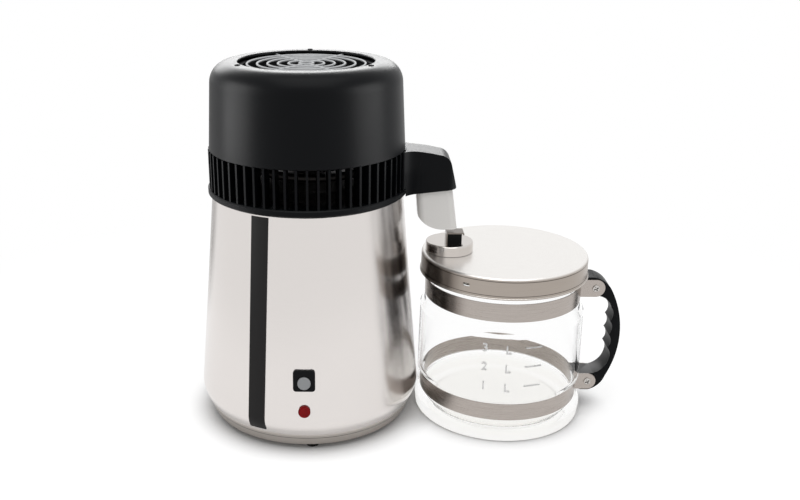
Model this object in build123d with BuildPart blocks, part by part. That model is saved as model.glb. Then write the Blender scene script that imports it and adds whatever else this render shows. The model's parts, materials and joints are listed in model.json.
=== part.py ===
from build123d import *

import os
from math import atan2, cos, degrees, dist, hypot, pi, radians, sin, sqrt

# A countertop water distiller. A steel boiler stands on a pan with rubber feet. A lift-off head
# closes it and holds the fan and the condenser coil. A spout arm leads the water down into a
# glass jug with a steel lid. Sizes are in millimetres. +Z is up, +X runs from the boiler to the
# jug, and the controls face -Y.

# Where the three upright axes stand
SHELL_MAX_R = 115.0            # the boiler's widest radius, near its foot
GLASS_WALL_R = 85.2            # the jug's straight wall
GLASS_FOOT_R = GLASS_WALL_R + 3.1
LID_R = GLASS_WALL_R - 0.3
CAP_R = 24.4
HANDLE_REACH = GLASS_WALL_R + 39.5       # from the jug's axis to the back of its handle
JUG_TUCK = 1.3                 # the jug's foot reaches this far in under the boiler's widest line
JUG_OFFSET = SHELL_MAX_R + GLASS_FOOT_R - JUG_TUCK
CAP_OFFSET = LID_R - CAP_R - 3.5         # the filler cap lies near the lid's rim, toward the boiler
BODY_X = (SHELL_MAX_R - JUG_OFFSET - HANDLE_REACH) / 2
JUG_X = BODY_X + JUG_OFFSET
CAP_X = JUG_X - CAP_OFFSET

# Fits
RUNNING = 0.05                 # shaft in its bush
SLIP = 0.3                     # parts that slide or turn past each other, or rest by hand
SCREW_GAP = 0.1                # screw in its hole
SEAT = 0.1                     # curved parts that sit against each other

# Boiler shell
SHELL_TOP_Z = 240.0
SHELL_TOP_R = 96.0
SHELL_WIDE_Z = 36.0
SHELL_FOOT_Z = 20.0
SHELL_FOOT_R = SHELL_MAX_R - 5.2
SHELL_WALL = 0.8
SHELL_FLANGE_WIDTH = 10.0
SHELL_KNEE_DROP = 5.0
SHELL_KNEE_IN = 0.0657         # the knee's stand-off inside the line of the slope
SHELL_ROLL_R = 22.0
TRIM_AZIMUTH = -114.7
TRIM_WIDTH = 17.8
TRIM_THICK = 0.6
TRIM_TOP_GAP = 2.5
TRIM_SHARE = 0.66              # how far down the roll the strip reaches
TRIM_SEAT = 0.12               # its film of glue

# Base pan and feet
PAN_BOTTOM_Z = 6.0
PAN_LIP_R = SHELL_FOOT_R - SHELL_WALL
PAN_LIP_Z = SHELL_FOOT_Z - 1.4
PAN_BOTTOM_R = PAN_LIP_R - 4.5
PAN_WALL = 2.5
PAN_SPIGOT_HEIGHT = 7.0
PAN_VENT_COUNT = 12
FOOT_CIRCLE_R = PAN_BOTTOM_R - 11.5
FOOT_TOP_R = 8.0
FOOT_BOTTOM_R = 6.5
FOOT_COUNT = 4
FOOT_START = -86.0
FOOT_SCREW_R = 1.6

# Boiling tank and what stands under it
TANK_R = 84.0
TANK_WALL = 0.8
TANK_BOTTOM_Z = 48.0
TANK_RIM_R = SHELL_TOP_R - 3.0
POST_CIRCLE_R = TANK_R - 10.0
POST_R = 4.5
POST_NECK_R = 3.0
POST_COUNT = 3
POST_START = 30.0
SHIELD_Z = 30.0
SHIELD_R = PAN_BOTTOM_R - 6.5
SHIELD_THICK = 0.8
PLATE_R = TANK_R - 22.0
PLATE_THICK = 6.0
ELEMENT_R = 42.0
ELEMENT_TUBE_R = 3.6
ELEMENT_ARC = 310.0
CLAMP_LENGTH = 2 * ELEMENT_R + 20.0
CLAMP_WIDTH = 16.0
CLAMP_THICK = 1.5
STUD_R = 2.5

# Controls on the front
RESET_Z = 80.0
BEZEL_WIDTH = 21.5
BEZEL_HEIGHT = 22.0
BEZEL_THICK = 1.8
BEZEL_SLEEVE = 19.0
BUTTON_R = 6.4
BUTTON_DROP = 2.3              # the button sits this far below the bezel's middle
BUTTON_TRAVEL = 2.5
BUTTON_PROUD = 3.2
CUTOUT_R = 8.0
CUTOUT_LENGTH = 12.0
PLUNGER_R = 1.6
LAMP_Z = 47.6
LAMP_R = 5.9
LAMP_BARREL_R = 4.6

# Power inlet, and the plug pair that feeds the fan
INLET_Z = 72.0
INLET_WIDTH = 27.0
INLET_HEIGHT = 19.5
INLET_FLANGE = 2.0
INLET_DEPTH = 18.0
PIN_COUNT = 3
FAN_PORT_Z = SHELL_TOP_Z - 19.0
FAN_PORT_WIDTH = 16.0
FAN_PORT_HEIGHT = 9.0

# Vent collar
COLLAR_R = SHELL_TOP_R + 4.0
COLLAR_FLANGE_TOP = SHELL_TOP_Z + 6.6
SLAT_HEIGHT = 37.8
SLAT_DEPTH = 10.5
SLAT_R = COLLAR_R - 1.5
SLAT_INNER_R = SLAT_R - SLAT_DEPTH
SLAT_TOP_Z = COLLAR_FLANGE_TOP + SLAT_HEIGHT
SLAT_THICK = 2.2
SLAT_COUNT = 60
SLAT_START = -87.2
COLLAR_RING_TOP = SLAT_TOP_Z + 3.1
REAR_PANEL_WIDTH = 38.0

# Head cover
COVER_HEIGHT = 84.3
COVER_TAPER = 4.5
COVER_BOTTOM_Z = SLAT_TOP_Z + SLIP
COVER_BOTTOM_R = COLLAR_R - 2.5
COVER_TOP_R = COVER_BOTTOM_R - COVER_TAPER
COVER_TOP_Z = COVER_BOTTOM_Z + COVER_HEIGHT
COVER_SHOULDER = 20.0
COVER_WALL = 2.2
OPENING_R = 66.5
BOLT_CIRCLE_R = OPENING_R + 5.5
BOLT_R = 1.5
BOLT_HEAD_R = 2.8
BOLT_COUNT = 3
BOLT_START = 90.0

# Fan
WIRE_R = 1.2
GUARD_RINGS = (57.5, 47.6, 37.6, 27.5, 17.3, 6.7)
GUARD_SPOKE_AZIMUTHS = (60.0, 120.0, 240.0, 300.0)
FRAME_R = OPENING_R
FRAME_BORE_R = FRAME_R - 4.0
FRAME_HEIGHT = 39.0            # from the cover's top down
FRAME_BOTTOM_Z = COVER_TOP_Z - FRAME_HEIGHT
BOSS_R = 5.0
BOSS_GAP = 0.7                 # below the cover, whose shoulder is round inside
BLADE_TIP_R = FRAME_BORE_R - 2.5
BLADE_COUNT = 7
HUB_R = 21.0
SHAFT_R = 1.5

# Condenser
TUBE_R = 4.0
TUBE_BORE_R = 3.3
COIL_R = 58.0
COIL_PITCH = 10.5
COIL_TURNS = 5
COIL_BOTTOM_Z = (COLLAR_FLANGE_TOP + SLAT_TOP_Z) / 2
COIL_TOP_Z = COIL_BOTTOM_Z + COIL_PITCH * COIL_TURNS
COIL_AZIMUTH = -35.0           # where the coil begins and ends
RISER_BEND = 15.0
EXIT_BEND = 22.0
OUTLET_X = JUG_OFFSET - CAP_OFFSET - 17.0
OUTLET_Z = SHELL_TOP_Z - 4.0
OUTLET_BEND = 18.0
HOOD_R = TANK_RIM_R - 2.0
HOOD_WALL = 0.8
HOOD_BEND_R = BOLT_CIRCLE_R - 7.0
HOOD_RISE = 14.0
GASKET_THICK = 2.2

# Spout arm and nozzle
ARM_HALF = 17.0
ARM_TIP_X = OUTLET_X + 21.0
ARM_WALL = 2.2
ARM_BOTTOM_Z = SHELL_TOP_Z - 2.2
ARM_TIP_Z = ARM_BOTTOM_Z + 6.6
ARM_ROOT_HALF = 25.0
NOSE_R = 9.0
NOZZLE_WALL = 1.8
NOZZLE_TOP_Z = SHELL_TOP_Z + 16.0
NOZZLE_LEFT_X = OUTLET_X - 20.4
NOZZLE_RIGHT_X = OUTLET_X + 15.4
NOZZLE_CORNER = 7.0
NOZZLE_CLEAR = 5.9             # above the filler cap's knob

# Jug
GLASS_THICK = 3.2
GLASS_FLOOR_Z = 9.0
GLASS_RIM_Z = 166.0
NECK_R = GLASS_WALL_R - 5.7
BAND_WALL = 0.8
UPPER_BAND_Z = GLASS_RIM_Z - 37.1
UPPER_BAND_HEIGHT = 18.8
LOWER_BAND_R = GLASS_WALL_R - 2.3
LOWER_BAND_Z = 22.5
LOWER_BAND_HEIGHT = 17.8
EAR_THICK = 1.2
EAR_CENTRE = GLASS_WALL_R + 9.8
HANDLE_HALF = 12.0
HANDLE_SCREW_R = 2.0
RIDGE_COUNT = 3

# Lid and cap
LID_TOP_Z = GLASS_RIM_Z + 9.3
LID_HEM_Z = LID_TOP_Z - 21.0
LID_HEM_R = LID_R + 1.5
LID_WALL = 0.8
FILLER_R = 15.5
CAP_TOP_Z = LID_TOP_Z + 10.7
CAP_WALL = 0.8
KNOB_LENGTH = 18.0
KNOB_WIDTH = 15.0
KNOB_TOP_Z = CAP_TOP_Z + 10.0
KNOB_SHIFT = 5.0

# Worked-out places
BODY_AXIS = Axis((BODY_X, 0, 0), (0, 0, 1))
JUG_AXIS = Axis((JUG_X, 0, 0), (0, 0, 1))
CAP_AXIS = Axis((CAP_X, 0, 0), (0, 0, 1))
SHELL_KNEE_Z = SHELL_WIDE_Z - SHELL_KNEE_DROP
SHELL_SLOPE = (SHELL_MAX_R - SHELL_TOP_R) / (SHELL_TOP_Z - SHELL_WIDE_Z)
SHELL_KNEE_R = SHELL_TOP_R + (SHELL_TOP_Z - SHELL_KNEE_Z) * SHELL_SLOPE - SHELL_KNEE_IN
SHELL_LEAN = atan2(SHELL_MAX_R - SHELL_TOP_R, SHELL_TOP_Z - SHELL_WIDE_Z)
RIM_Z = SHELL_TOP_Z + TANK_WALL
GASKET_Z = RIM_Z + SLIP
HOOD_Z = GASKET_Z + GASKET_THICK
HOOD_TOP_Z = HOOD_Z + HOOD_WALL
COVER_UNDER_Z = COVER_TOP_Z - COVER_WALL
WIRE_Z = COVER_UNDER_Z - SEAT - WIRE_R
FRAME_TOP_Z = WIRE_Z - WIRE_R - SEAT


def section(x):
    """The upright XZ plane through x: its own x is the distance from there, its own y is height."""
    return Plane(origin=(x, 0, 0), x_dir=(1, 0, 0), z_dir=(0, -1, 0))


def level(x, z):
    """The flat plane at height z, centred on the upright axis at x."""
    return Plane(origin=(x, 0, z))


def shell_radius(z):
    """The outside radius of the shell's cone at height z."""
    return SHELL_TOP_R + (SHELL_TOP_Z - z) * SHELL_SLOPE


def on_shell(azimuth, z, out=0.0):
    """A plane that lies against the shell's cone at an azimuth and a height, facing outward."""
    turn = radians(azimuth)
    outward = Vector(cos(turn) * cos(SHELL_LEAN), sin(turn) * cos(SHELL_LEAN), sin(SHELL_LEAN))
    radius = shell_radius(z)
    foot = Vector(BODY_X + radius * cos(turn), radius * sin(turn), z)
    return Plane(origin=foot + outward * out, x_dir=(-sin(turn), cos(turn), 0), z_dir=outward)


def save(piece, name, colour):
    """Label a finished piece, colour it and write its STEP file."""
    piece.part.label = name
    piece.part.color = Color(*colour)
    os.makedirs("parts", exist_ok=True)
    export_step(piece.part, f"parts/{name}.step")


STEEL = (0.82, 0.81, 0.79)
BLACK = (0.06, 0.06, 0.07)
GREY = (0.5, 0.5, 0.5)
ALUMINIUM = (0.75, 0.76, 0.78)

# Base pan: a shallow dish with a ledge that carries the shell and a spigot inside the shell
FLOOR_TOP_Z = PAN_BOTTOM_Z + PAN_WALL
SPIGOT_R = SHELL_FOOT_R - SHELL_WALL - SLIP
SPIGOT_TOP_Z = PAN_LIP_Z + PAN_SPIGOT_HEIGHT
with BuildPart() as base_pan:
    with BuildSketch(section(BODY_X)):
        with BuildLine():
            Polyline(
                (0, PAN_BOTTOM_Z),
                (PAN_BOTTOM_R, PAN_BOTTOM_Z),
                (PAN_LIP_R, PAN_LIP_Z - 1.0),
                (PAN_LIP_R, PAN_LIP_Z),
                (SPIGOT_R, PAN_LIP_Z),
                (SPIGOT_R, SPIGOT_TOP_Z),
                (SPIGOT_R - PAN_WALL, SPIGOT_TOP_Z),
                (PAN_BOTTOM_R - PAN_WALL, FLOOR_TOP_Z),
                (0, FLOOR_TOP_Z),
                close=True,
            )
        make_face()
    revolve(axis=BODY_AXIS)
    # Bosses for the feet and for the tank's posts
    with BuildSketch(level(BODY_X, FLOOR_TOP_Z)):
        with PolarLocations(FOOT_CIRCLE_R, FOOT_COUNT, start_angle=FOOT_START):
            Circle(FOOT_SCREW_R + 3)
    extrude(amount=6)
    # Screw holes
    with BuildSketch(level(BODY_X, PAN_BOTTOM_Z)):
        with PolarLocations(FOOT_CIRCLE_R, FOOT_COUNT, start_angle=FOOT_START):
            Circle(FOOT_SCREW_R + SCREW_GAP)
        with PolarLocations(POST_CIRCLE_R, POST_COUNT, start_angle=POST_START):
            Circle(FOOT_SCREW_R + SCREW_GAP)
    extrude(amount=12, mode=Mode.SUBTRACT)
    # Air slots through the floor
    with BuildSketch(level(BODY_X, PAN_BOTTOM_Z)):
        with PolarLocations(46, PAN_VENT_COUNT):
            SlotOverall(26, 4)
    extrude(amount=PAN_WALL, mode=Mode.SUBTRACT)
save(base_pan, "base_pan", (0.55, 0.53, 0.51))

# Rubber feet: tapered pucks, each with a recess for its screw head
FOOT_HEAD_Z = 2.5
with BuildPart() as rubber_feet:
    with BuildSketch(level(BODY_X, 0)):
        with PolarLocations(FOOT_CIRCLE_R, FOOT_COUNT, start_angle=FOOT_START):
            Circle(FOOT_BOTTOM_R)
    with BuildSketch(level(BODY_X, PAN_BOTTOM_Z)):
        with PolarLocations(FOOT_CIRCLE_R, FOOT_COUNT, start_angle=FOOT_START):
            Circle(FOOT_TOP_R)
    for bottom, top in zip(rubber_feet.pending_faces[:FOOT_COUNT], rubber_feet.pending_faces[FOOT_COUNT:]):
        loft([bottom, top])
    rubber_feet.pending_faces.clear()
    rubber_feet.pending_face_planes.clear()
    with BuildSketch(level(BODY_X, 0)):
        with PolarLocations(FOOT_CIRCLE_R, FOOT_COUNT, start_angle=FOOT_START):
            Circle(3.4)
    extrude(amount=FOOT_HEAD_Z, mode=Mode.SUBTRACT)
    with BuildSketch(level(BODY_X, 0)):
        with PolarLocations(FOOT_CIRCLE_R, FOOT_COUNT, start_angle=FOOT_START):
            Circle(FOOT_SCREW_R + SCREW_GAP)
    extrude(amount=PAN_BOTTOM_Z, mode=Mode.SUBTRACT)
save(rubber_feet, "rubber_feet", BLACK)


def pan_head_screws(name, circle_r, count, start, head_z, length):
    """A ring of pan-head screws that point upward, heads below head_z."""
    with BuildPart() as screws:
        with BuildSketch(level(BODY_X, head_z)):
            with PolarLocations(circle_r, count, start_angle=start):
                Circle(3.0)
        extrude(amount=-1.8)
        with BuildSketch(level(BODY_X, head_z)):
            with PolarLocations(circle_r, count, start_angle=start):
                Circle(FOOT_SCREW_R)
        extrude(amount=length)
    save(screws, name, GREY)


pan_head_screws("foot_screws", FOOT_CIRCLE_R, FOOT_COUNT, FOOT_START, FOOT_HEAD_Z, 9.5)
pan_head_screws("post_screws", POST_CIRCLE_R, POST_COUNT, POST_START, PAN_BOTTOM_Z, 12)

# Posts: they stand on the pan, carry the heat shield on a shoulder and the tank on their tips
with BuildPart() as tank_posts:
    with BuildSketch(level(BODY_X, FLOOR_TOP_Z)):
        with PolarLocations(POST_CIRCLE_R, POST_COUNT, start_angle=POST_START):
            Circle(POST_R)
    extrude(amount=SHIELD_Z - FLOOR_TOP_Z)
    with BuildSketch(level(BODY_X, SHIELD_Z)):
        with PolarLocations(POST_CIRCLE_R, POST_COUNT, start_angle=POST_START):
            Circle(POST_NECK_R)
    extrude(amount=TANK_BOTTOM_Z - SHIELD_Z)
    with BuildSketch(level(BODY_X, FLOOR_TOP_Z)):
        with PolarLocations(POST_CIRCLE_R, POST_COUNT, start_angle=POST_START):
            Circle(FOOT_SCREW_R + SCREW_GAP)
    extrude(amount=12, mode=Mode.SUBTRACT)
save(tank_posts, "tank_posts", GREY)

# Heat shield: a thin disc between the element and the pan
with BuildPart() as heat_shield:
    with BuildSketch(level(BODY_X, SHIELD_Z)):
        Circle(SHIELD_R)
        with PolarLocations(POST_CIRCLE_R, POST_COUNT, start_angle=POST_START):
            Circle(POST_NECK_R + SCREW_GAP, mode=Mode.SUBTRACT)
    extrude(amount=SHIELD_THICK)
save(heat_shield, "heat_shield", ALUMINIUM)

# Outer shell: one sheet, rolled in at the top for the tank's rim and in at the foot for the pan
with BuildPart() as outer_shell:
    with BuildSketch(section(BODY_X)):
        with BuildLine():
            FilletPolyline(
                (SHELL_TOP_R - SHELL_FLANGE_WIDTH, SHELL_TOP_Z),
                (SHELL_TOP_R, SHELL_TOP_Z),
                (SHELL_KNEE_R, SHELL_KNEE_Z),
                (SHELL_FOOT_R, SHELL_FOOT_Z - SHELL_WALL),
                radius=[2.0, SHELL_ROLL_R],
            )
            offset(amount=SHELL_WALL, side=Side.RIGHT)
        make_face()
    revolve(axis=BODY_AXIS)
    with BuildSketch(on_shell(-90, RESET_Z, 3)):
        Rectangle(BEZEL_SLEEVE + 2 * SLIP, BEZEL_SLEEVE + 2 * SLIP)
    extrude(amount=-9, mode=Mode.SUBTRACT)
    with BuildSketch(on_shell(-90, LAMP_Z, 3)):
        Circle(LAMP_BARREL_R + SLIP)
    extrude(amount=-9, mode=Mode.SUBTRACT)
    with BuildSketch(on_shell(90, INLET_Z, 3)):
        RectangleRounded(INLET_WIDTH + 2 * SLIP, INLET_HEIGHT + 2 * SLIP, 3)
    extrude(amount=-9, mode=Mode.SUBTRACT)
    with BuildSketch(on_shell(90, FAN_PORT_Z, 3)):
        Rectangle(FAN_PORT_WIDTH + 2 * SLIP, FAN_PORT_HEIGHT + 2 * SLIP)
    extrude(amount=-9, mode=Mode.SUBTRACT)
save(outer_shell, "outer_shell", STEEL)

def beside_shell(out, top_gap, share):
    """Three points beside the shell: top, knee, and a share of the way from knee to foot."""
    top = Vector(SHELL_TOP_R, SHELL_TOP_Z)
    knee = Vector(SHELL_KNEE_R, SHELL_KNEE_Z)
    foot = Vector(SHELL_FOOT_R, SHELL_FOOT_Z - SHELL_WALL)
    side = (knee - top).normalized()
    roll = (foot - knee).normalized()
    side_out = Vector(-side.Y, side.X)
    roll_out = Vector(-roll.Y, roll.X)
    knee_out = (side_out + roll_out) * (1 / (1 + side_out.dot(roll_out)))
    return (
        top + side * top_gap + side_out * out,
        knee + knee_out * out,
        knee + (foot - knee) * share + roll_out * out,
    )


# Trim strip: a black band stuck down the shell, over the roll at its foot
with BuildPart() as trim_strip:
    with BuildSketch(section(BODY_X)):
        with BuildLine():
            strip = beside_shell(TRIM_SEAT, TRIM_TOP_GAP, TRIM_SHARE)
            FilletPolyline(*strip, radius=SHELL_ROLL_R + TRIM_SEAT)
            offset(amount=TRIM_THICK, side=Side.LEFT)
        make_face()
    revolve(axis=BODY_AXIS)
    with BuildSketch(Plane(origin=(BODY_X, 0, 0)).rotated((0, 0, TRIM_AZIMUTH))):
        with Locations((SHELL_MAX_R, 0)):
            Rectangle(2 * SHELL_MAX_R, TRIM_WIDTH)
    extrude(amount=SHELL_TOP_Z, mode=Mode.INTERSECT)
save(trim_strip, "trim_strip", BLACK)

# Boiling tank: a deep drawn pot whose rim lies on the shell's flange
with BuildPart() as boiling_tank:
    with BuildSketch(section(BODY_X)):
        with BuildLine():
            FilletPolyline(
                (TANK_RIM_R, SHELL_TOP_Z),
                (TANK_R, SHELL_TOP_Z),
                (TANK_R, TANK_BOTTOM_Z),
                (0, TANK_BOTTOM_Z),
                radius=[1.5, 8.0],
            )
            offset(amount=TANK_WALL, side=Side.RIGHT)
        make_face()
    revolve(axis=BODY_AXIS)
save(boiling_tank, "boiling_tank", STEEL)

# Element plate, the tubular element below it, and the bar, stud and nut that clamp them
PLATE_Z = TANK_BOTTOM_Z - PLATE_THICK
ELEMENT_Z = PLATE_Z - SEAT - ELEMENT_TUBE_R
CLAMP_Z = ELEMENT_Z - ELEMENT_TUBE_R - SEAT - CLAMP_THICK
NUT_Z = SHIELD_Z + SHIELD_THICK + 0.4
with BuildPart() as element_plate:
    with BuildSketch(level(BODY_X, PLATE_Z)):
        Circle(PLATE_R)
    extrude(amount=PLATE_THICK)
    chamfer(element_plate.edges().group_by(Axis.Z)[0], 1)
save(element_plate, "element_plate", ALUMINIUM)

with BuildPart() as heating_element:
    with BuildLine(level(BODY_X, ELEMENT_Z)):
        ring = CenterArc((0, 0), ELEMENT_R, 90 + (360 - ELEMENT_ARC) / 2, ELEMENT_ARC)
    with BuildSketch(Plane(origin=ring @ 0, z_dir=ring % 0)):
        Circle(ELEMENT_TUBE_R)
    sweep()
    with BuildSketch(level(BODY_X, ELEMENT_Z)):
        cold_end = 90 - (360 - ELEMENT_ARC) / 2
        with PolarLocations(ELEMENT_R, 2, start_angle=cold_end, angular_range=360 - ELEMENT_ARC):
            Circle(2.2)
    extrude(amount=-(ELEMENT_Z - SHIELD_Z - SHIELD_THICK - 0.6))
save(heating_element, "heating_element", GREY)

with BuildPart() as element_clamp:
    with BuildSketch(level(BODY_X, CLAMP_Z)):
        SlotOverall(CLAMP_LENGTH, CLAMP_WIDTH)
        Circle(STUD_R + SCREW_GAP, mode=Mode.SUBTRACT)
    extrude(amount=CLAMP_THICK)
save(element_clamp, "element_clamp", STEEL)

with BuildPart() as element_stud:
    with BuildSketch(level(BODY_X, NUT_Z)):
        Circle(STUD_R)
    extrude(amount=PLATE_Z - NUT_Z)
save(element_stud, "element_stud", GREY)

with BuildPart() as element_nut:
    with BuildSketch(level(BODY_X, NUT_Z)):
        RegularPolygon(5, 6)
        Circle(STUD_R + SCREW_GAP, mode=Mode.SUBTRACT)
    extrude(amount=CLAMP_Z - NUT_Z)
save(element_nut, "element_nut", GREY)

# Thermal cut-out: it lies against the tank behind the reset button
CUTOUT_FACE = shell_radius(RESET_Z) - TANK_R - 0.4
with BuildPart() as thermal_cutout:
    with BuildSketch(on_shell(-90, RESET_Z, -CUTOUT_FACE + CUTOUT_LENGTH)):
        with Locations((0, -BUTTON_DROP)):
            Circle(CUTOUT_R)
    extrude(amount=-CUTOUT_LENGTH)
    with BuildSketch(on_shell(-90, RESET_Z, -CUTOUT_FACE + CUTOUT_LENGTH)):
        with Locations((0, -BUTTON_DROP)):
            Circle(PLUNGER_R + SLIP)
    extrude(amount=-CUTOUT_LENGTH + 3, mode=Mode.SUBTRACT)
    with BuildSketch(on_shell(-90, RESET_Z, -CUTOUT_FACE + CUTOUT_LENGTH - 3)):
        with Locations((11, -BUTTON_DROP), (-11, -BUTTON_DROP)):
            Rectangle(8, 6)
    extrude(amount=-0.8)
    with BuildSketch(Plane(origin=(BODY_X, 0, 0))):
        Circle(TANK_R + SEAT)
    extrude(amount=SHELL_TOP_Z, mode=Mode.SUBTRACT)
save(thermal_cutout, "thermal_cutout", GREY)

# Reset bezel: a rounded square frame with a sleeve through the shell
with BuildPart() as reset_bezel:
    with BuildSketch(on_shell(-90, RESET_Z, SEAT)):
        RectangleRounded(BEZEL_WIDTH, BEZEL_HEIGHT, 3)
    extrude(amount=BEZEL_THICK)
    fillet(reset_bezel.faces().sort_by(Axis.Y)[0].edges(), 0.6)
    with BuildSketch(on_shell(-90, RESET_Z, SEAT)):
        Rectangle(BEZEL_SLEEVE, BEZEL_SLEEVE)
    extrude(amount=-9)
    with BuildSketch(on_shell(-90, RESET_Z, SEAT + BEZEL_THICK)):
        with Locations((0, -BUTTON_DROP)):
            Circle(BUTTON_R + SLIP)
    extrude(amount=-20, mode=Mode.SUBTRACT)
    # Two snap tongues that grip behind the shell
    with BuildSketch(on_shell(-90, RESET_Z, -SHELL_WALL - 1.0)):
        with Locations((BEZEL_SLEEVE / 2 + 0.6, 0), (-BEZEL_SLEEVE / 2 - 0.6, 0)):
            Rectangle(1.2, 6)
    extrude(amount=-4)
save(reset_bezel, "reset_bezel", BLACK)

# Reset button with its plunger, which ends inside the cut-out
PLUNGER_TIP = CUTOUT_FACE - CUTOUT_LENGTH + 3
with BuildPart() as reset_button:
    with BuildSketch(on_shell(-90, RESET_Z, BUTTON_PROUD)):
        with Locations((0, -BUTTON_DROP)):
            Circle(BUTTON_R)
    extrude(amount=-BUTTON_PROUD - 6)
    fillet(reset_button.faces().sort_by(Axis.Y)[0].edges(), 0.8)
    with BuildSketch(on_shell(-90, RESET_Z, -6)):
        with Locations((0, -BUTTON_DROP)):
            Circle(PLUNGER_R)
    extrude(amount=-(PLUNGER_TIP - 6))
save(reset_button, "reset_button", (0.56, 0.57, 0.58))

# Indicator lamp: a red lens with its barrel through the shell, and a spring nut behind
with BuildPart() as indicator_lamp:
    with BuildSketch(on_shell(-90, LAMP_Z, SEAT)):
        Circle(LAMP_R)
    extrude(amount=2.2)
    fillet(indicator_lamp.faces().sort_by(Axis.Y)[0].edges(), 1.2)
    with BuildSketch(on_shell(-90, LAMP_Z, SEAT)):
        Circle(LAMP_BARREL_R)
    extrude(amount=-14)
save(indicator_lamp, "indicator_lamp", (0.48, 0.06, 0.07))

with BuildPart() as lamp_nut:
    with BuildSketch(on_shell(-90, LAMP_Z, -SHELL_WALL - 0.7)):
        RegularPolygon(7.5, 6)
        Circle(LAMP_BARREL_R + SCREW_GAP, mode=Mode.SUBTRACT)
    extrude(amount=-3)
save(lamp_nut, "lamp_nut", BLACK)

# Power inlet: a snap-in socket low on the back, with three contact pins
with BuildPart() as power_inlet:
    with BuildSketch(on_shell(90, INLET_Z, SEAT)):
        RectangleRounded(INLET_WIDTH + 4, INLET_HEIGHT + 4, 3)
    extrude(amount=INLET_FLANGE)
    with BuildSketch(on_shell(90, INLET_Z, SEAT)):
        RectangleRounded(INLET_WIDTH, INLET_HEIGHT, 3)
    extrude(amount=-INLET_DEPTH)
    with BuildSketch(on_shell(90, INLET_Z, SEAT + INLET_FLANGE)):
        RectangleRounded(INLET_WIDTH - 3, INLET_HEIGHT - 3.5, 2.5)
    extrude(amount=-16, mode=Mode.SUBTRACT)
    with BuildSketch(on_shell(90, INLET_Z, -10)):
        with Locations((-7, -1), (0, 3), (7, -1)):
            Rectangle(2 + 2 * SCREW_GAP, 4 + 2 * SCREW_GAP)
    extrude(amount=-10, mode=Mode.SUBTRACT)
save(power_inlet, "power_inlet", BLACK)

with BuildPart() as inlet_pins:
    with BuildSketch(on_shell(90, INLET_Z, -3)):
        with Locations((-7, -1), (0, 3), (7, -1)):
            Rectangle(2, 4)
    extrude(amount=-19)
save(inlet_pins, "inlet_pins", STEEL)

# Fan outlet: the small socket on the shell that feeds the head through a short lead
with BuildPart() as fan_outlet:
    with BuildSketch(on_shell(90, FAN_PORT_Z, SEAT)):
        RectangleRounded(FAN_PORT_WIDTH + 4, FAN_PORT_HEIGHT + 4, 2)
    extrude(amount=1.6)
    with BuildSketch(on_shell(90, FAN_PORT_Z, SEAT)):
        Rectangle(FAN_PORT_WIDTH, FAN_PORT_HEIGHT)
    extrude(amount=-11)
    with BuildSketch(on_shell(90, FAN_PORT_Z, 3)):
        with Locations((-3.5, 0), (3.5, 0)):
            Circle(1.9)
    extrude(amount=-12, mode=Mode.SUBTRACT)
save(fan_outlet, "fan_outlet", BLACK)

# Vent collar: a ledge on the hood, sixty upright slats, and a ring that carries the cover
COVER_INNER_R = COVER_BOTTOM_R - COVER_WALL
COLLAR_RING_R = COVER_INNER_R - SLIP - 0.2
THROAT_Z = COIL_BOTTOM_Z
GROMMET_R = 7.5
PANEL_CLEAR = 3.0
LEDGE_R = SLAT_INNER_R - 4
RING_INNER_R = SLAT_INNER_R - 0.7
ROOT = 1.0


def clear_of_panels(azimuth):
    """True where a slat stands apart from the arm's throat and the rear panel."""
    along = SLAT_R * cos(radians(azimuth))
    across = SLAT_R * sin(radians(azimuth))
    throat = along > 0 and abs(across) < ARM_HALF + PANEL_CLEAR
    rear = across > 0 and abs(along) < REAR_PANEL_WIDTH / 2 + PANEL_CLEAR
    return not throat and not rear


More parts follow.
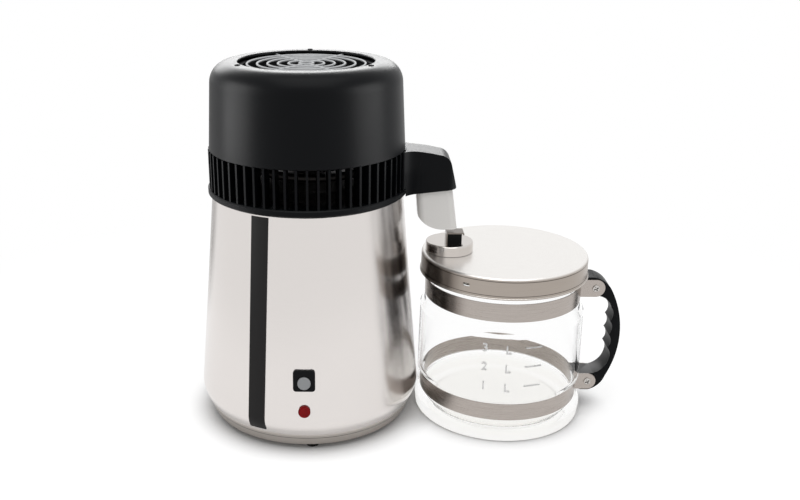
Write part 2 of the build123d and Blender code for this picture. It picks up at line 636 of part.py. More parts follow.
with BuildPart() as vent_collar:
    with BuildSketch(section(BODY_X)):
        with BuildLine():
            Polyline(
                (LEDGE_R, HOOD_TOP_Z),
                (HOOD_R + 0.5, HOOD_TOP_Z),
                (HOOD_R + 1.5, HOOD_TOP_Z - 1),
                (TANK_RIM_R + SLIP, SHELL_TOP_Z + SLIP),
                (COLLAR_R - 1, SHELL_TOP_Z + SLIP),
                (COLLAR_R, SHELL_TOP_Z + SLIP + 1),
                (COLLAR_R, COLLAR_FLANGE_TOP - 1),
                (COLLAR_R - 1, COLLAR_FLANGE_TOP),
                (LEDGE_R, COLLAR_FLANGE_TOP),
                close=True,
            )
        make_face()
    revolve(axis=BODY_AXIS)
    with BuildSketch(level(BODY_X, COLLAR_FLANGE_TOP - ROOT)):
        for number in range(SLAT_COUNT):
            azimuth = SLAT_START + 360 / SLAT_COUNT * number
            if clear_of_panels(azimuth):
                with PolarLocations((SLAT_R + SLAT_INNER_R) / 2, 1, start_angle=azimuth):
                    Rectangle(SLAT_R - SLAT_INNER_R, SLAT_THICK)
    extrude(amount=SLAT_TOP_Z - COLLAR_FLANGE_TOP + ROOT)
    with BuildSketch(level(BODY_X, SLAT_TOP_Z - ROOT)):
        Circle(COLLAR_RING_R)
        Circle(RING_INNER_R, mode=Mode.SUBTRACT)
    extrude(amount=COLLAR_RING_TOP - SLAT_TOP_Z + ROOT)
    # The throat panel behind the arm and the panel for the fan's socket
    for centre, width in (((SLAT_R, 0), 2 * ARM_HALF - 2), ((0, SLAT_R), REAR_PANEL_WIDTH)):
        with BuildSketch(level(BODY_X, COLLAR_FLANGE_TOP - ROOT)):
            Circle(SLAT_R)
            Circle(SLAT_INNER_R, mode=Mode.SUBTRACT)
            with Locations(centre):
                Rectangle(width, width, mode=Mode.INTERSECT)
        extrude(amount=SLAT_TOP_Z - COLLAR_FLANGE_TOP + ROOT)
    with BuildSketch(Plane(origin=(BODY_X, 0, THROAT_Z), x_dir=(0, 1, 0), z_dir=(1, 0, 0))):
        Circle(GROMMET_R + SEAT)
    extrude(amount=COLLAR_R + 5, mode=Mode.SUBTRACT)
    with BuildSketch(Plane(origin=(BODY_X, 0, THROAT_Z), x_dir=(-1, 0, 0), z_dir=(0, 1, 0))):
        Rectangle(FAN_PORT_WIDTH + 2 * SLIP, FAN_PORT_HEIGHT + 2 * SLIP)
    extrude(amount=COLLAR_R + 5, mode=Mode.SUBTRACT)
save(vent_collar, "vent_collar", BLACK)

# Fan inlet: the head's own socket, in the collar's rear panel
with BuildPart() as fan_inlet:
    with BuildSketch(Plane(origin=(BODY_X, SLAT_R + SEAT, THROAT_Z), x_dir=(-1, 0, 0), z_dir=(0, 1, 0))):
        RectangleRounded(FAN_PORT_WIDTH + 4, FAN_PORT_HEIGHT + 4, 2)
    extrude(amount=1.4)
    with BuildSketch(Plane(origin=(BODY_X, SLAT_R + SEAT, THROAT_Z), x_dir=(-1, 0, 0), z_dir=(0, 1, 0))):
        Rectangle(FAN_PORT_WIDTH, FAN_PORT_HEIGHT)
    extrude(amount=-16)
    with BuildSketch(Plane(origin=(BODY_X, SLAT_R + 3, THROAT_Z), x_dir=(-1, 0, 0), z_dir=(0, 1, 0))):
        RectangleRounded(FAN_PORT_WIDTH - 3, FAN_PORT_HEIGHT - 3, 1.5)
    extrude(amount=-11, mode=Mode.SUBTRACT)
    with BuildSketch(Plane(origin=(BODY_X, SLAT_R - 2, THROAT_Z), x_dir=(-1, 0, 0), z_dir=(0, 1, 0))):
        with Locations((-3.5, 0), (3.5, 0)):
            Circle(1.0)
    extrude(amount=-8)
save(fan_inlet, "fan_inlet", BLACK)

# Head cover: a moulded dome with a wide hole in its top and three bolt holes
with BuildPart() as head_cover:
    with BuildSketch(section(BODY_X)):
        with BuildLine():
            FilletPolyline(
                (COVER_BOTTOM_R, COVER_BOTTOM_Z),
                (COVER_TOP_R, COVER_TOP_Z),
                (OPENING_R, COVER_TOP_Z),
                radius=COVER_SHOULDER,
            )
            offset(amount=COVER_WALL, side=Side.LEFT)
        make_face()
    revolve(axis=BODY_AXIS)
    fillet(head_cover.edges().filter_by(GeomType.CIRCLE).group_by(Axis.Z)[-1].sort_by(SortBy.RADIUS)[0], 1.2)
    with BuildSketch(level(BODY_X, COVER_TOP_Z)):
        with PolarLocations(BOLT_CIRCLE_R, BOLT_COUNT, start_angle=BOLT_START):
            Circle(BOLT_R + SCREW_GAP)
    extrude(amount=-COVER_WALL, mode=Mode.SUBTRACT)
save(head_cover, "head_cover", BLACK)

# Head bolts: three long bolts from the top, through the fan's frame, into nuts on the hood
NUT_HEIGHT = 4.5
with BuildPart() as head_bolts:
    with BuildSketch(level(BODY_X, COVER_TOP_Z)):
        with PolarLocations(BOLT_CIRCLE_R, BOLT_COUNT, start_angle=BOLT_START):
            Circle(BOLT_HEAD_R)
    extrude(amount=1.4)
    fillet(head_bolts.faces().group_by(Axis.Z)[-1].edges(), 0.6)
    with BuildSketch(level(BODY_X, COVER_TOP_Z)):
        with PolarLocations(BOLT_CIRCLE_R, BOLT_COUNT, start_angle=BOLT_START):
            Circle(BOLT_R)
    extrude(amount=HOOD_TOP_Z + SEAT - COVER_TOP_Z)
save(head_bolts, "head_bolts", GREY)

with BuildPart() as hood_nuts:
    with BuildSketch(level(BODY_X, HOOD_TOP_Z)):
        with PolarLocations(BOLT_CIRCLE_R, BOLT_COUNT, start_angle=BOLT_START):
            RegularPolygon(4, 6)
            Circle(BOLT_R + SCREW_GAP, mode=Mode.SUBTRACT)
    extrude(amount=NUT_HEIGHT)
save(hood_nuts, "hood_nuts", GREY)

# Fan guard: six wire rings on four spokes whose ends lie between the cover and the fan's frame
SPOKE_END_R = 69.5
with BuildPart() as fan_guard:
    for radius in GUARD_RINGS:
        with BuildSketch(section(BODY_X)):
            with Locations((radius, WIRE_Z)):
                RegularPolygon(WIRE_R, 8)
        revolve(axis=BODY_AXIS)
    for azimuth in GUARD_SPOKE_AZIMUTHS:
        turn = radians(azimuth)
        across = (-sin(turn), cos(turn), 0)
        spoke = Plane(origin=(BODY_X, 0, WIRE_Z), x_dir=across, z_dir=(cos(turn), sin(turn), 0))
        with BuildSketch(spoke.offset(GUARD_RINGS[-1])):
            RegularPolygon(WIRE_R, 8)
        extrude(amount=SPOKE_END_R - GUARD_RINGS[-1])
save(fan_guard, "fan_guard", BLACK)

# Fan frame: a ring with a clamping flange, three bolt bosses, four struts and a bush carrier
CARRIER_R = 20.0
CARRIER_BORE_R = 4.0
CARRIER_BOSS_R = 6.5
CARRIER_TOP_Z = FRAME_BOTTOM_Z + 15
STRUT_THICK = 3.0
with BuildPart() as fan_frame:
    with BuildSketch(level(BODY_X, FRAME_BOTTOM_Z)):
        Circle(FRAME_R)
        Circle(FRAME_BORE_R, mode=Mode.SUBTRACT)
    extrude(amount=FRAME_TOP_Z - FRAME_BOTTOM_Z)
    with BuildSketch(level(BODY_X, FRAME_TOP_Z)):
        Circle(SPOKE_END_R + 1)
        Circle(FRAME_BORE_R, mode=Mode.SUBTRACT)
    extrude(amount=-2.4)
    with BuildSketch(level(BODY_X, FRAME_BOTTOM_Z)):
        with PolarLocations(BOLT_CIRCLE_R, BOLT_COUNT, start_angle=BOLT_START):
            Circle(BOSS_R)
        with PolarLocations(FRAME_R + 1, BOLT_COUNT, start_angle=BOLT_START):
            Rectangle(6, 6)
    extrude(amount=COVER_UNDER_Z - BOSS_GAP - FRAME_BOTTOM_Z)
    with BuildSketch(level(BODY_X, FRAME_BOTTOM_Z)):
        Circle(CARRIER_R)
        with PolarLocations((CARRIER_R + FRAME_BORE_R) / 2, 4, start_angle=45):
            Rectangle(FRAME_BORE_R - CARRIER_R + 4, 5)
    extrude(amount=STRUT_THICK)
    with BuildSketch(level(BODY_X, FRAME_BOTTOM_Z)):
        Circle(CARRIER_BOSS_R)
    extrude(amount=CARRIER_TOP_Z - FRAME_BOTTOM_Z)
    with BuildSketch(level(BODY_X, FRAME_BOTTOM_Z)):
        Circle(CARRIER_BORE_R + SCREW_GAP)
        with PolarLocations(BOLT_CIRCLE_R, BOLT_COUNT, start_angle=BOLT_START):
            Circle(BOLT_R + SCREW_GAP)
    extrude(amount=COVER_UNDER_Z - FRAME_BOTTOM_Z, mode=Mode.SUBTRACT)
save(fan_frame, "fan_frame", BLACK)

# Fan motor: the wound stator on the carrier's boss, and the bush in its bore
with BuildPart() as fan_motor:
    with BuildSketch(level(BODY_X, FRAME_BOTTOM_Z + STRUT_THICK)):
        Circle(16)
        Circle(CARRIER_BOSS_R + SEAT, mode=Mode.SUBTRACT)
    extrude(amount=12)
save(fan_motor, "fan_motor", (0.6, 0.35, 0.2))

with BuildPart() as fan_bush:
    with BuildSketch(level(BODY_X, FRAME_BOTTOM_Z)):
        Circle(CARRIER_BORE_R)
        Circle(SHAFT_R + RUNNING, mode=Mode.SUBTRACT)
    extrude(amount=CARRIER_TOP_Z - FRAME_BOTTOM_Z)
save(fan_bush, "fan_bush", (0.72, 0.55, 0.3))

# Fan rotor: a cup over the motor with seven twisted blades, on its own shaft
HUB_TOP_Z = FRAME_BOTTOM_Z + 28
HUB_BOTTOM_Z = FRAME_BOTTOM_Z + STRUT_THICK + 2
HUB_WALL = 2.0
SHAFT_TOP_Z = HUB_TOP_Z - HUB_WALL
BLADE_Z = (HUB_TOP_Z + HUB_BOTTOM_Z) / 2
BLADE_STATIONS = ((HUB_R - 1, 20.0, 42.0), (BLADE_TIP_R, 30.0, 24.0))
with BuildPart() as fan_blade:
    for radius, chord, pitch in BLADE_STATIONS:
        tilt = radians(pitch)
        chord_way = (0, cos(tilt), sin(tilt))
        with BuildSketch(Plane(origin=(BODY_X + radius, 0, BLADE_Z), x_dir=chord_way, z_dir=(1, 0, 0))):
            Rectangle(chord, 1.8)
    loft()

with BuildPart() as fan_rotor:
    with BuildSketch(level(BODY_X, HUB_BOTTOM_Z)):
        Circle(HUB_R)
    extrude(amount=HUB_TOP_Z - HUB_BOTTOM_Z)
    fillet(fan_rotor.faces().sort_by(Axis.Z)[-1].edges(), 2)
    with BuildSketch(level(BODY_X, HUB_BOTTOM_Z)):
        Circle(HUB_R - HUB_WALL)
    extrude(amount=HUB_TOP_Z - HUB_WALL - HUB_BOTTOM_Z, mode=Mode.SUBTRACT)
    with BuildSketch(level(BODY_X, HUB_TOP_Z - HUB_WALL)):
        Circle(4)
    extrude(amount=CARRIER_TOP_Z + 1 - HUB_TOP_Z + HUB_WALL)
    for number in range(BLADE_COUNT):
        add(fan_blade.part.rotate(BODY_AXIS, 360 / BLADE_COUNT * number))
    with BuildSketch(level(BODY_X, CARRIER_TOP_Z)):
        Circle(SHAFT_R + RUNNING)
    extrude(amount=SHAFT_TOP_Z - CARRIER_TOP_Z, mode=Mode.SUBTRACT)
save(fan_rotor, "fan_rotor", (0.1, 0.1, 0.11))

with BuildPart() as fan_shaft:
    with BuildSketch(level(BODY_X, FRAME_BOTTOM_Z + 1)):
        Circle(SHAFT_R)
    extrude(amount=SHAFT_TOP_Z - FRAME_BOTTOM_Z - 1)
save(fan_shaft, "fan_shaft", STEEL)

# Vapour hood: the steel lid of the tank, domed to the hole where the coil's tube begins
DOME_TOP_R = 12.0
DOME_TOP_Z = HOOD_Z + HOOD_RISE
with BuildPart() as vapour_hood:
    with BuildSketch(section(BODY_X)):
        with BuildLine():
            FilletPolyline(
                (HOOD_R, HOOD_Z),
                (HOOD_BEND_R, HOOD_Z),
                (HOOD_BEND_R - 9, HOOD_Z + 8),
                (DOME_TOP_R, DOME_TOP_Z),
                (TUBE_R + SCREW_GAP, DOME_TOP_Z),
                radius=[3.0, 6.0, 4.0],
            )
            offset(amount=HOOD_WALL, side=Side.RIGHT)
        make_face()
    revolve(axis=BODY_AXIS)
save(vapour_hood, "vapour_hood", STEEL)

# Hood gasket: a silicone ring under the hood's edge
with BuildPart() as hood_gasket:
    with BuildSketch(level(BODY_X, GASKET_Z)):
        Circle(HOOD_R)
        Circle(TANK_R - 3, mode=Mode.SUBTRACT)
    extrude(amount=GASKET_THICK)
save(hood_gasket, "hood_gasket", (0.85, 0.85, 0.82))


def bend_points(centre, first, last, radius):
    """Start, middle and end of a quarter bend from direction first to direction last."""
    middle = (first + last).normalized()
    return (centre + first * radius, centre + middle * radius, centre + last * radius)


def heading(azimuth):
    """A flat unit vector at an azimuth."""
    return Vector(cos(radians(azimuth)), sin(radians(azimuth)), 0)


# Condenser coil: one unbroken tube. It rises from the hood, sweeps out to the coil's circle,
# winds down in half turns, leaves the coil on a tangent and bends to run along the arm.
# Each half turn is one arc in a tilted plane, so the turns join without a corner.
axis_foot = Vector(BODY_X, 0, 0)
up = Vector(0, 0, 1)
sweep_r = (COIL_R**2 - RISER_BEND**2) / (2 * COIL_R)
sweep_turn = degrees(atan2(sweep_r, RISER_BEND)) + 90
riser_azimuth = COIL_AZIMUTH + 90 - sweep_turn
riser_heading = heading(riser_azimuth)
riser_left = heading(riser_azimuth + 90)
riser_foot = axis_foot + up * (DOME_TOP_Z - 1)
riser_top = axis_foot + up * (COIL_TOP_Z - RISER_BEND)
sweep_start = axis_foot + up * COIL_TOP_Z + riser_heading * RISER_BEND
sweep_centre = sweep_start + riser_left * sweep_r
coil_start = axis_foot + up * COIL_TOP_Z + heading(COIL_AZIMUTH) * COIL_R
exit_azimuth = COIL_AZIMUTH + 90
coil_end = coil_start - up * COIL_PITCH * COIL_TURNS
exit_drop = EXIT_BEND * (1 - cos(radians(exit_azimuth)))
exit_run = (-coil_end.Y - exit_drop) / sin(radians(exit_azimuth))
exit_start = coil_end + heading(exit_azimuth) * exit_run
exit_centre = exit_start + heading(exit_azimuth - 90) * EXIT_BEND
exit_end = Vector(exit_centre.X, 0, COIL_BOTTOM_Z)
spout_start = Vector(BODY_X + OUTLET_X - OUTLET_BEND, 0, COIL_BOTTOM_Z)
spout_centre = spout_start - up * OUTLET_BEND
spout_foot = Vector(BODY_X + OUTLET_X, 0, OUTLET_Z)

with BuildPart() as condenser_coil:
    with BuildLine() as coil_path:
        Line(riser_foot, riser_top)
        ThreePointArc(*bend_points(riser_top + riser_heading * RISER_BEND, -riser_heading, up, RISER_BEND))
        middle_azimuth = riser_azimuth - 90 + sweep_turn / 2
        ThreePointArc(sweep_start, sweep_centre + heading(middle_azimuth) * sweep_r, coil_start)
        for half_turn in range(2 * COIL_TURNS):
            start_azimuth = COIL_AZIMUTH + 180 * half_turn
            start_z = COIL_TOP_Z - COIL_PITCH / 2 * half_turn
            reach = hypot(COIL_R, COIL_PITCH / 4)
            begin = axis_foot + up * start_z + heading(start_azimuth) * COIL_R
            half_way = axis_foot + up * (start_z - COIL_PITCH / 4) + heading(start_azimuth + 90) * reach
            finish = axis_foot + up * (start_z - COIL_PITCH / 2) - heading(start_azimuth) * COIL_R
            ThreePointArc(begin, half_way, finish)
        Line(coil_end, exit_start)
        middle = exit_centre + heading(90 + exit_azimuth / 2) * EXIT_BEND
        ThreePointArc(exit_start, middle, exit_end)
        Line(exit_end, spout_start)
        ThreePointArc(*bend_points(spout_centre, up, Vector(1, 0, 0), OUTLET_BEND))
        Line(spout_centre + Vector(1, 0, 0) * OUTLET_BEND, spout_foot)
    with BuildSketch(Plane(origin=riser_foot)):
        Circle(TUBE_R)
        Circle(TUBE_BORE_R, mode=Mode.SUBTRACT)
    sweep()
save(condenser_coil, "condenser_coil", STEEL)

coil_wire = coil_path.wires()[0]
path_length = coil_wire.length
tube_area = pi * (TUBE_R**2 - TUBE_BORE_R**2)
print(f"coil tube: {path_length:.0f} mm long, volume {condenser_coil.part.volume:.0f},"
      f" section times length {path_length * tube_area:.0f}")
coil_samples = 700
coil_points = [tuple(coil_wire @ (step / coil_samples)) for step in range(coil_samples + 1)]
apart = int(4 * TUBE_R / path_length * coil_samples) + 1
least_gap = min(
    dist(coil_points[first], later)
    for first in range(coil_samples)
    for later in coil_points[first + apart:]
) - 2 * TUBE_R
print(f"coil tube: least gap to itself {least_gap:.2f} mm")


def throat_plane(x):
    """An upright plane across the arm's axis at x, facing away from the boiler."""
    return Plane(origin=(BODY_X + x, 0, THROAT_Z), x_dir=(0, 1, 0), z_dir=(1, 0, 0))


# Outlet grommet: a rubber ring that holds the tube in the collar's throat
with BuildPart() as outlet_grommet:
    with BuildSketch(throat_plane(SLAT_INNER_R - 3)):
        Circle(GROMMET_R)
    extrude(amount=SLAT_R - SLAT_INNER_R + 5)
    with BuildSketch(throat_plane(SLAT_INNER_R - 3)):
        Circle(GROMMET_R + 2)
    extrude(amount=1.5)
    with BuildSketch(throat_plane(SLAT_INNER_R - 3)):
        Circle(TUBE_R + SEAT)
    extrude(amount=SLAT_R, mode=Mode.SUBTRACT)
save(outlet_grommet, "outlet_grommet", BLACK)

# Spout arm: a hollow moulding that springs from the collar with a hollow-sided blend. Its plan
# and its side view are each one outline, and the arm is what both have in common.
ARM_SEAT_R = SLAT_R + SEAT
ARM_WAIST_X = COLLAR_R + 12    # from here to the tip the arm's sides run straight
NOSE_TOP = (ARM_TIP_X - 5.6, COVER_BOTTOM_Z - 16.7)
CROWN_END = (ARM_TIP_X - 17, COVER_BOTTOM_Z - 5.5)
CROWN_MIDDLE = (ARM_TIP_X - 35, COVER_BOTTOM_Z - 2.3)
CROWN_ROOT = (SLAT_INNER_R + 4, COVER_BOTTOM_Z - 1.3)
ARM_INNER_HALF = ARM_HALF - ARM_WALL
with BuildPart() as arm_hollow:
    with BuildSketch(level(BODY_X, ARM_BOTTOM_Z - 20)):
        with Locations((ARM_TIP_X - ARM_WALL - 40, 0)):
            RectangleRounded(80, 2 * ARM_INNER_HALF, NOSE_R - ARM_WALL)
    extrude(amount=COVER_BOTTOM_Z - ARM_BOTTOM_Z + 20)
    with BuildSketch(section(BODY_X)):
        with BuildLine():
            Polyline(
                (SLAT_INNER_R, ARM_BOTTOM_Z + 5),
                (NOZZLE_LEFT_X - 3, ARM_BOTTOM_Z + 5),
                (NOZZLE_LEFT_X - 3, ARM_BOTTOM_Z - 10),
                (ARM_TIP_X - ARM_WALL, ARM_BOTTOM_Z - 10),
                (ARM_TIP_X - ARM_WALL - 0.1, ARM_TIP_Z),
                (NOSE_TOP[0] - ARM_WALL - 0.2, NOSE_TOP[1] - 1),
                (CROWN_END[0] - 1.6, CROWN_END[1] - ARM_WALL - 0.8),
                (CROWN_MIDDLE[0], CROWN_MIDDLE[1] - ARM_WALL - 0.4),
                (SLAT_INNER_R, CROWN_ROOT[1] - ARM_WALL - 0.4),
                close=True,
            )
        make_face()
    extrude(amount=50, both=True, mode=Mode.INTERSECT)

with BuildPart() as spout_arm:
    with BuildSketch(level(BODY_X, ARM_BOTTOM_Z - 20)):
        with BuildLine():
            for side in (1, -1):
                root = (COLLAR_R - 5.5, side * ARM_ROOT_HALF)
                waist = (ARM_WAIST_X, side * ARM_HALF)
                cheek = (ARM_TIP_X - NOSE_R, side * ARM_HALF)
                tip = (ARM_TIP_X, side * (ARM_HALF - NOSE_R))
                Line((SLAT_INNER_R, 0), (SLAT_INNER_R, side * ARM_ROOT_HALF))
                Line((SLAT_INNER_R, side * ARM_ROOT_HALF), root)
                ThreePointArc(root, (COLLAR_R + 0.6, side * (ARM_HALF + 2.3)), waist)
                Line(waist, cheek)
                RadiusArc(cheek, tip, side * NOSE_R)
                Line(tip, (ARM_TIP_X, 0))
        make_face()
    extrude(amount=COVER_BOTTOM_Z - ARM_BOTTOM_Z + 20)
    with BuildSketch(section(BODY_X)):
        with BuildLine():
            Line((CROWN_ROOT[0], ARM_BOTTOM_Z), (ARM_TIP_X, ARM_TIP_Z))
            Line((ARM_TIP_X, ARM_TIP_Z), NOSE_TOP)
            RadiusArc(NOSE_TOP, CROWN_END, -13.0)
            ThreePointArc(CROWN_END, CROWN_MIDDLE, CROWN_ROOT)
            Line(CROWN_ROOT, (CROWN_ROOT[0], ARM_BOTTOM_Z))
        make_face()
    extrude(amount=50, both=True, mode=Mode.INTERSECT)
    with BuildSketch(level(BODY_X, 0)):
        Circle(ARM_SEAT_R)
    extrude(amount=COVER_TOP_Z, mode=Mode.SUBTRACT)
    with BuildSketch(level(BODY_X, 0)):
        Circle(COLLAR_R + SEAT)
    extrude(amount=COLLAR_FLANGE_TOP + SEAT, mode=Mode.SUBTRACT)
    add(arm_hollow.part, mode=Mode.SUBTRACT)
save(spout_arm, "spout_arm", BLACK)

# Nozzle: a tapered, round-cornered sleeve pushed up into the arm, cut by a curve at its foot
NOZZLE_HALF = ARM_INNER_HALF - SLIP
NOZZLE_LEAN_LEFT = 0.0885      # how far its two ends lean outward for each millimetre down
NOZZLE_LEAN_RIGHT = 0.1435
NOZZLE_FOOT_Z = KNOB_TOP_Z
NOZZLE_LENGTH = NOZZLE_TOP_Z - NOZZLE_FOOT_Z
FOOT_CURVE_END = (OUTLET_X + 12, NOZZLE_FOOT_Z + NOZZLE_CLEAR)
FOOT_CURVE_MIDDLE = (OUTLET_X - 7.5, NOZZLE_FOOT_Z + 0.17 * NOZZLE_LENGTH)
FOOT_CURVE_START = (OUTLET_X - 18, NOZZLE_FOOT_Z + 0.35 * NOZZLE_LENGTH)


def nozzle_block(wall):
    """The nozzle's tapered block, drawn in all round by a wall's thickness."""
    with BuildPart() as block:
        for z in (NOZZLE_TOP_Z, NOZZLE_FOOT_Z):
            drop = NOZZLE_TOP_Z - z
            left = NOZZLE_LEFT_X + NOZZLE_LEAN_LEFT * drop + wall
            right = NOZZLE_RIGHT_X + NOZZLE_LEAN_RIGHT * drop - wall
            with BuildSketch(level(BODY_X + (left + right) / 2, z)):
                RectangleRounded(right - left, 2 * (NOZZLE_HALF - wall), NOZZLE_CORNER - wall)
        loft()
    return block.part


def under_nozzle(raise_by):
    """The space below the nozzle's curved foot, raised by an amount."""
    curve = (FOOT_CURVE_START, FOOT_CURVE_MIDDLE, FOOT_CURVE_END)
    start, middle, end = (Vector(*point) + Vector(0, raise_by) for point in curve)
    left = OUTLET_X - 28
    right = NOZZLE_RIGHT_X + NOZZLE_LEAN_RIGHT * NOZZLE_LENGTH + 6
    with BuildPart() as below:
        with BuildSketch(section(BODY_X)):
            with BuildLine():
                ThreePointArc(start, middle, end)
                Polyline(
                    end,
                    (right, end.Y),
                    (right, NOZZLE_FOOT_Z - 2),
                    (left, NOZZLE_FOOT_Z - 2),
                    (left, start.Y),
                    start,
                )
            make_face()
        extrude(amount=40, both=True)
    return below.part


NOZZLE_HOLLOW = nozzle_block(NOZZLE_WALL) - under_nozzle(NOZZLE_WALL)
with BuildPart() as nozzle:
    add(nozzle_block(0))
    add(under_nozzle(0), mode=Mode.SUBTRACT)
    add(NOZZLE_HOLLOW, mode=Mode.SUBTRACT)
    with BuildSketch(level(BODY_X + OUTLET_X + 14, NOZZLE_FOOT_Z)):
        with GridLocations(0, 6, 1, 3):
            SlotOverall(10, 3)
    extrude(amount=12, mode=Mode.SUBTRACT)
save(nozzle, "nozzle", (0.8, 0.8, 0.79))

# Glass jug: a heavy foot, a waist for the lower band, a straight wall, a shoulder and a neck
BAND_SEAT_R = LOWER_BAND_R - BAND_WALL - SEAT
LOWER_BAND_TOP_Z = LOWER_BAND_Z + LOWER_BAND_HEIGHT
NECK_INNER_R = NECK_R - GLASS_THICK
with BuildPart() as glass_jug:
    with BuildSketch(section(JUG_X)):
        with BuildLine():
            FilletPolyline(
                (0, 3),
                (GLASS_FOOT_R - 20.3, 3),
                (GLASS_FOOT_R - 17.3, 0),
                (GLASS_FOOT_R - 1.5, 0),
                (GLASS_FOOT_R, 14),
                (GLASS_FOOT_R - 3, LOWER_BAND_Z - 2),
                (BAND_SEAT_R, LOWER_BAND_Z - 0.6),
                (BAND_SEAT_R, LOWER_BAND_TOP_Z + 0.6),
                (GLASS_WALL_R + 0.7, LOWER_BAND_TOP_Z + 3.5),
                (GLASS_WALL_R, UPPER_BAND_Z - 38.9),
                (GLASS_WALL_R - 0.4, UPPER_BAND_Z - 11.9),
                (NECK_R, UPPER_BAND_Z - 3.5),
                (NECK_R, GLASS_RIM_Z - 4),
                (NECK_R + 1.4, GLASS_RIM_Z - 2),
                (NECK_R + 1.0, GLASS_RIM_Z),
                (NECK_INNER_R, GLASS_RIM_Z),
                (NECK_INNER_R, UPPER_BAND_Z - 2),
                (GLASS_WALL_R - GLASS_THICK, UPPER_BAND_Z - 16.9),
                (GLASS_WALL_R - GLASS_THICK, LOWER_BAND_TOP_Z + 6),
                (BAND_SEAT_R - GLASS_THICK, LOWER_BAND_TOP_Z - 3),
                (BAND_SEAT_R - GLASS_THICK, GLASS_FLOOR_Z),
                (0, GLASS_FLOOR_Z),
                radius=[2, 1.5, 3, 5, 2.5, 1, 1, 2, 60, 4, 3.5, 1.5, 0.8, 0.9, 1.2, 4, 5, 8, 8, 9],
            )
            Line((0, GLASS_FLOOR_Z), (0, 3))
        make_face()
    revolve(axis=JUG_AXIS)
save(glass_jug, "glass_jug", (0.85, 0.9, 0.92))


def clamp_band(name, radius, z, height, ear_z):
    """A steel band round the jug whose ends turn out into two ears that hold the handle."""
    ear_y = HANDLE_HALF + SEAT
    ear_r = height / 2
    root_x = sqrt((radius - BAND_WALL / 2) ** 2 - ear_y**2)
    with BuildPart() as band:
        with BuildSketch(level(JUG_X, z)):
            Circle(radius)
            Circle(radius - BAND_WALL, mode=Mode.SUBTRACT)
        extrude(amount=height)
        for side in (1, -1):
            face = Plane(origin=(JUG_X, side * ear_y, ear_z), x_dir=(1, 0, 0), z_dir=(0, -1, 0))
            with BuildSketch(face):
                with Locations(((root_x + EAR_CENTRE) / 2, 0)):
                    Rectangle(EAR_CENTRE - root_x, 2 * ear_r)
                with Locations((EAR_CENTRE, 0)):
                    Circle(ear_r)
                    Circle(HANDLE_SCREW_R + SCREW_GAP, mode=Mode.SUBTRACT)
            extrude(amount=-side * EAR_THICK)
    save(band, name, STEEL)
    return band


UPPER_EAR_Z = UPPER_BAND_Z + UPPER_BAND_HEIGHT / 2
LOWER_EAR_Z = LOWER_BAND_Z + LOWER_BAND_HEIGHT / 2
UPPER_BAND_R = NECK_R + SEAT + BAND_WALL
upper_band = clamp_band("upper_band", UPPER_BAND_R, UPPER_BAND_Z, UPPER_BAND_HEIGHT, UPPER_EAR_Z)
lower_band = clamp_band("lower_band", LOWER_BAND_R, LOWER_BAND_Z, LOWER_BAND_HEIGHT, LOWER_EAR_Z)

# Handle: one bow from band to band, with three finger hollows inside the grip
GRIP_X = HANDLE_REACH - 11.4
RIDGE_TOP_Z = UPPER_EAR_Z - 21.8
RIDGE_FOOT_Z = LOWER_EAR_Z + 38.9
RIDGE_PITCH = (RIDGE_TOP_Z - RIDGE_FOOT_Z) / RIDGE_COUNT
BOW_Z = (UPPER_EAR_Z + LOWER_EAR_Z) / 2 + 3.15


def by_ear(ear_z, out, up):
    """A point of the handle's outline, out and up from the screw in an ear."""
    return (EAR_CENTRE + out, ear_z + up)


with BuildPart() as jug_handle:
    with BuildSketch(section(JUG_X)):
        with BuildLine():
            shoulder = by_ear(UPPER_EAR_Z, -2, 11.7)
            elbow = by_ear(UPPER_EAR_Z, 16.8, -1.8)
            heel = by_ear(LOWER_EAR_Z, 18.4, 5.9)
            sole = by_ear(LOWER_EAR_Z, 2, -10.4)
            crook = by_ear(LOWER_EAR_Z, 5, 9)
            bay = by_ear(LOWER_EAR_Z, 21, 26.6)
            root = by_ear(UPPER_EAR_Z, 4, -8.9)
            Line((UPPER_BAND_R + SLIP, shoulder[1]), shoulder)
            ThreePointArc(shoulder, by_ear(UPPER_EAR_Z, 9.2, 6.7), elbow)
            ThreePointArc(elbow, (HANDLE_REACH, BOW_Z), heel)
            ThreePointArc(heel, by_ear(LOWER_EAR_Z, 12, -4.6), sole)
            Polyline(
                sole,
                (GLASS_FOOT_R + SLIP, sole[1]),
                (LOWER_BAND_R + SLIP, sole[1] + 2.5),
                (LOWER_BAND_R + SLIP, crook[1] - 0.4),
                crook,
            )
            ThreePointArc(crook, by_ear(LOWER_EAR_Z, 15.6, 15.4), bay)
            ThreePointArc(bay, by_ear(LOWER_EAR_Z, 21.2, 33.6), (GRIP_X, RIDGE_FOOT_Z))
            for number in range(RIDGE_COUNT):
                top = RIDGE_TOP_Z - RIDGE_PITCH * number
                foot = top - RIDGE_PITCH
                ThreePointArc((GRIP_X, foot), (GRIP_X + 2.8, (top + foot) / 2), (GRIP_X, top))
            ThreePointArc((GRIP_X, RIDGE_TOP_Z), by_ear(UPPER_EAR_Z, 13.2, -13.3), root)
            Polyline(
                root,
                (UPPER_BAND_R + SLIP, root[1] + 1),
                (UPPER_BAND_R + SLIP, shoulder[1]),
            )
        make_face()
    extrude(amount=HANDLE_HALF, both=True)
    with BuildSketch(section(JUG_X)):
        with Locations((EAR_CENTRE, UPPER_EAR_Z), (EAR_CENTRE, LOWER_EAR_Z)):
            Circle(HANDLE_SCREW_R + SCREW_GAP)
    extrude(amount=HANDLE_HALF + 1, both=True, mode=Mode.SUBTRACT)
save(jug_handle, "jug_handle", BLACK)

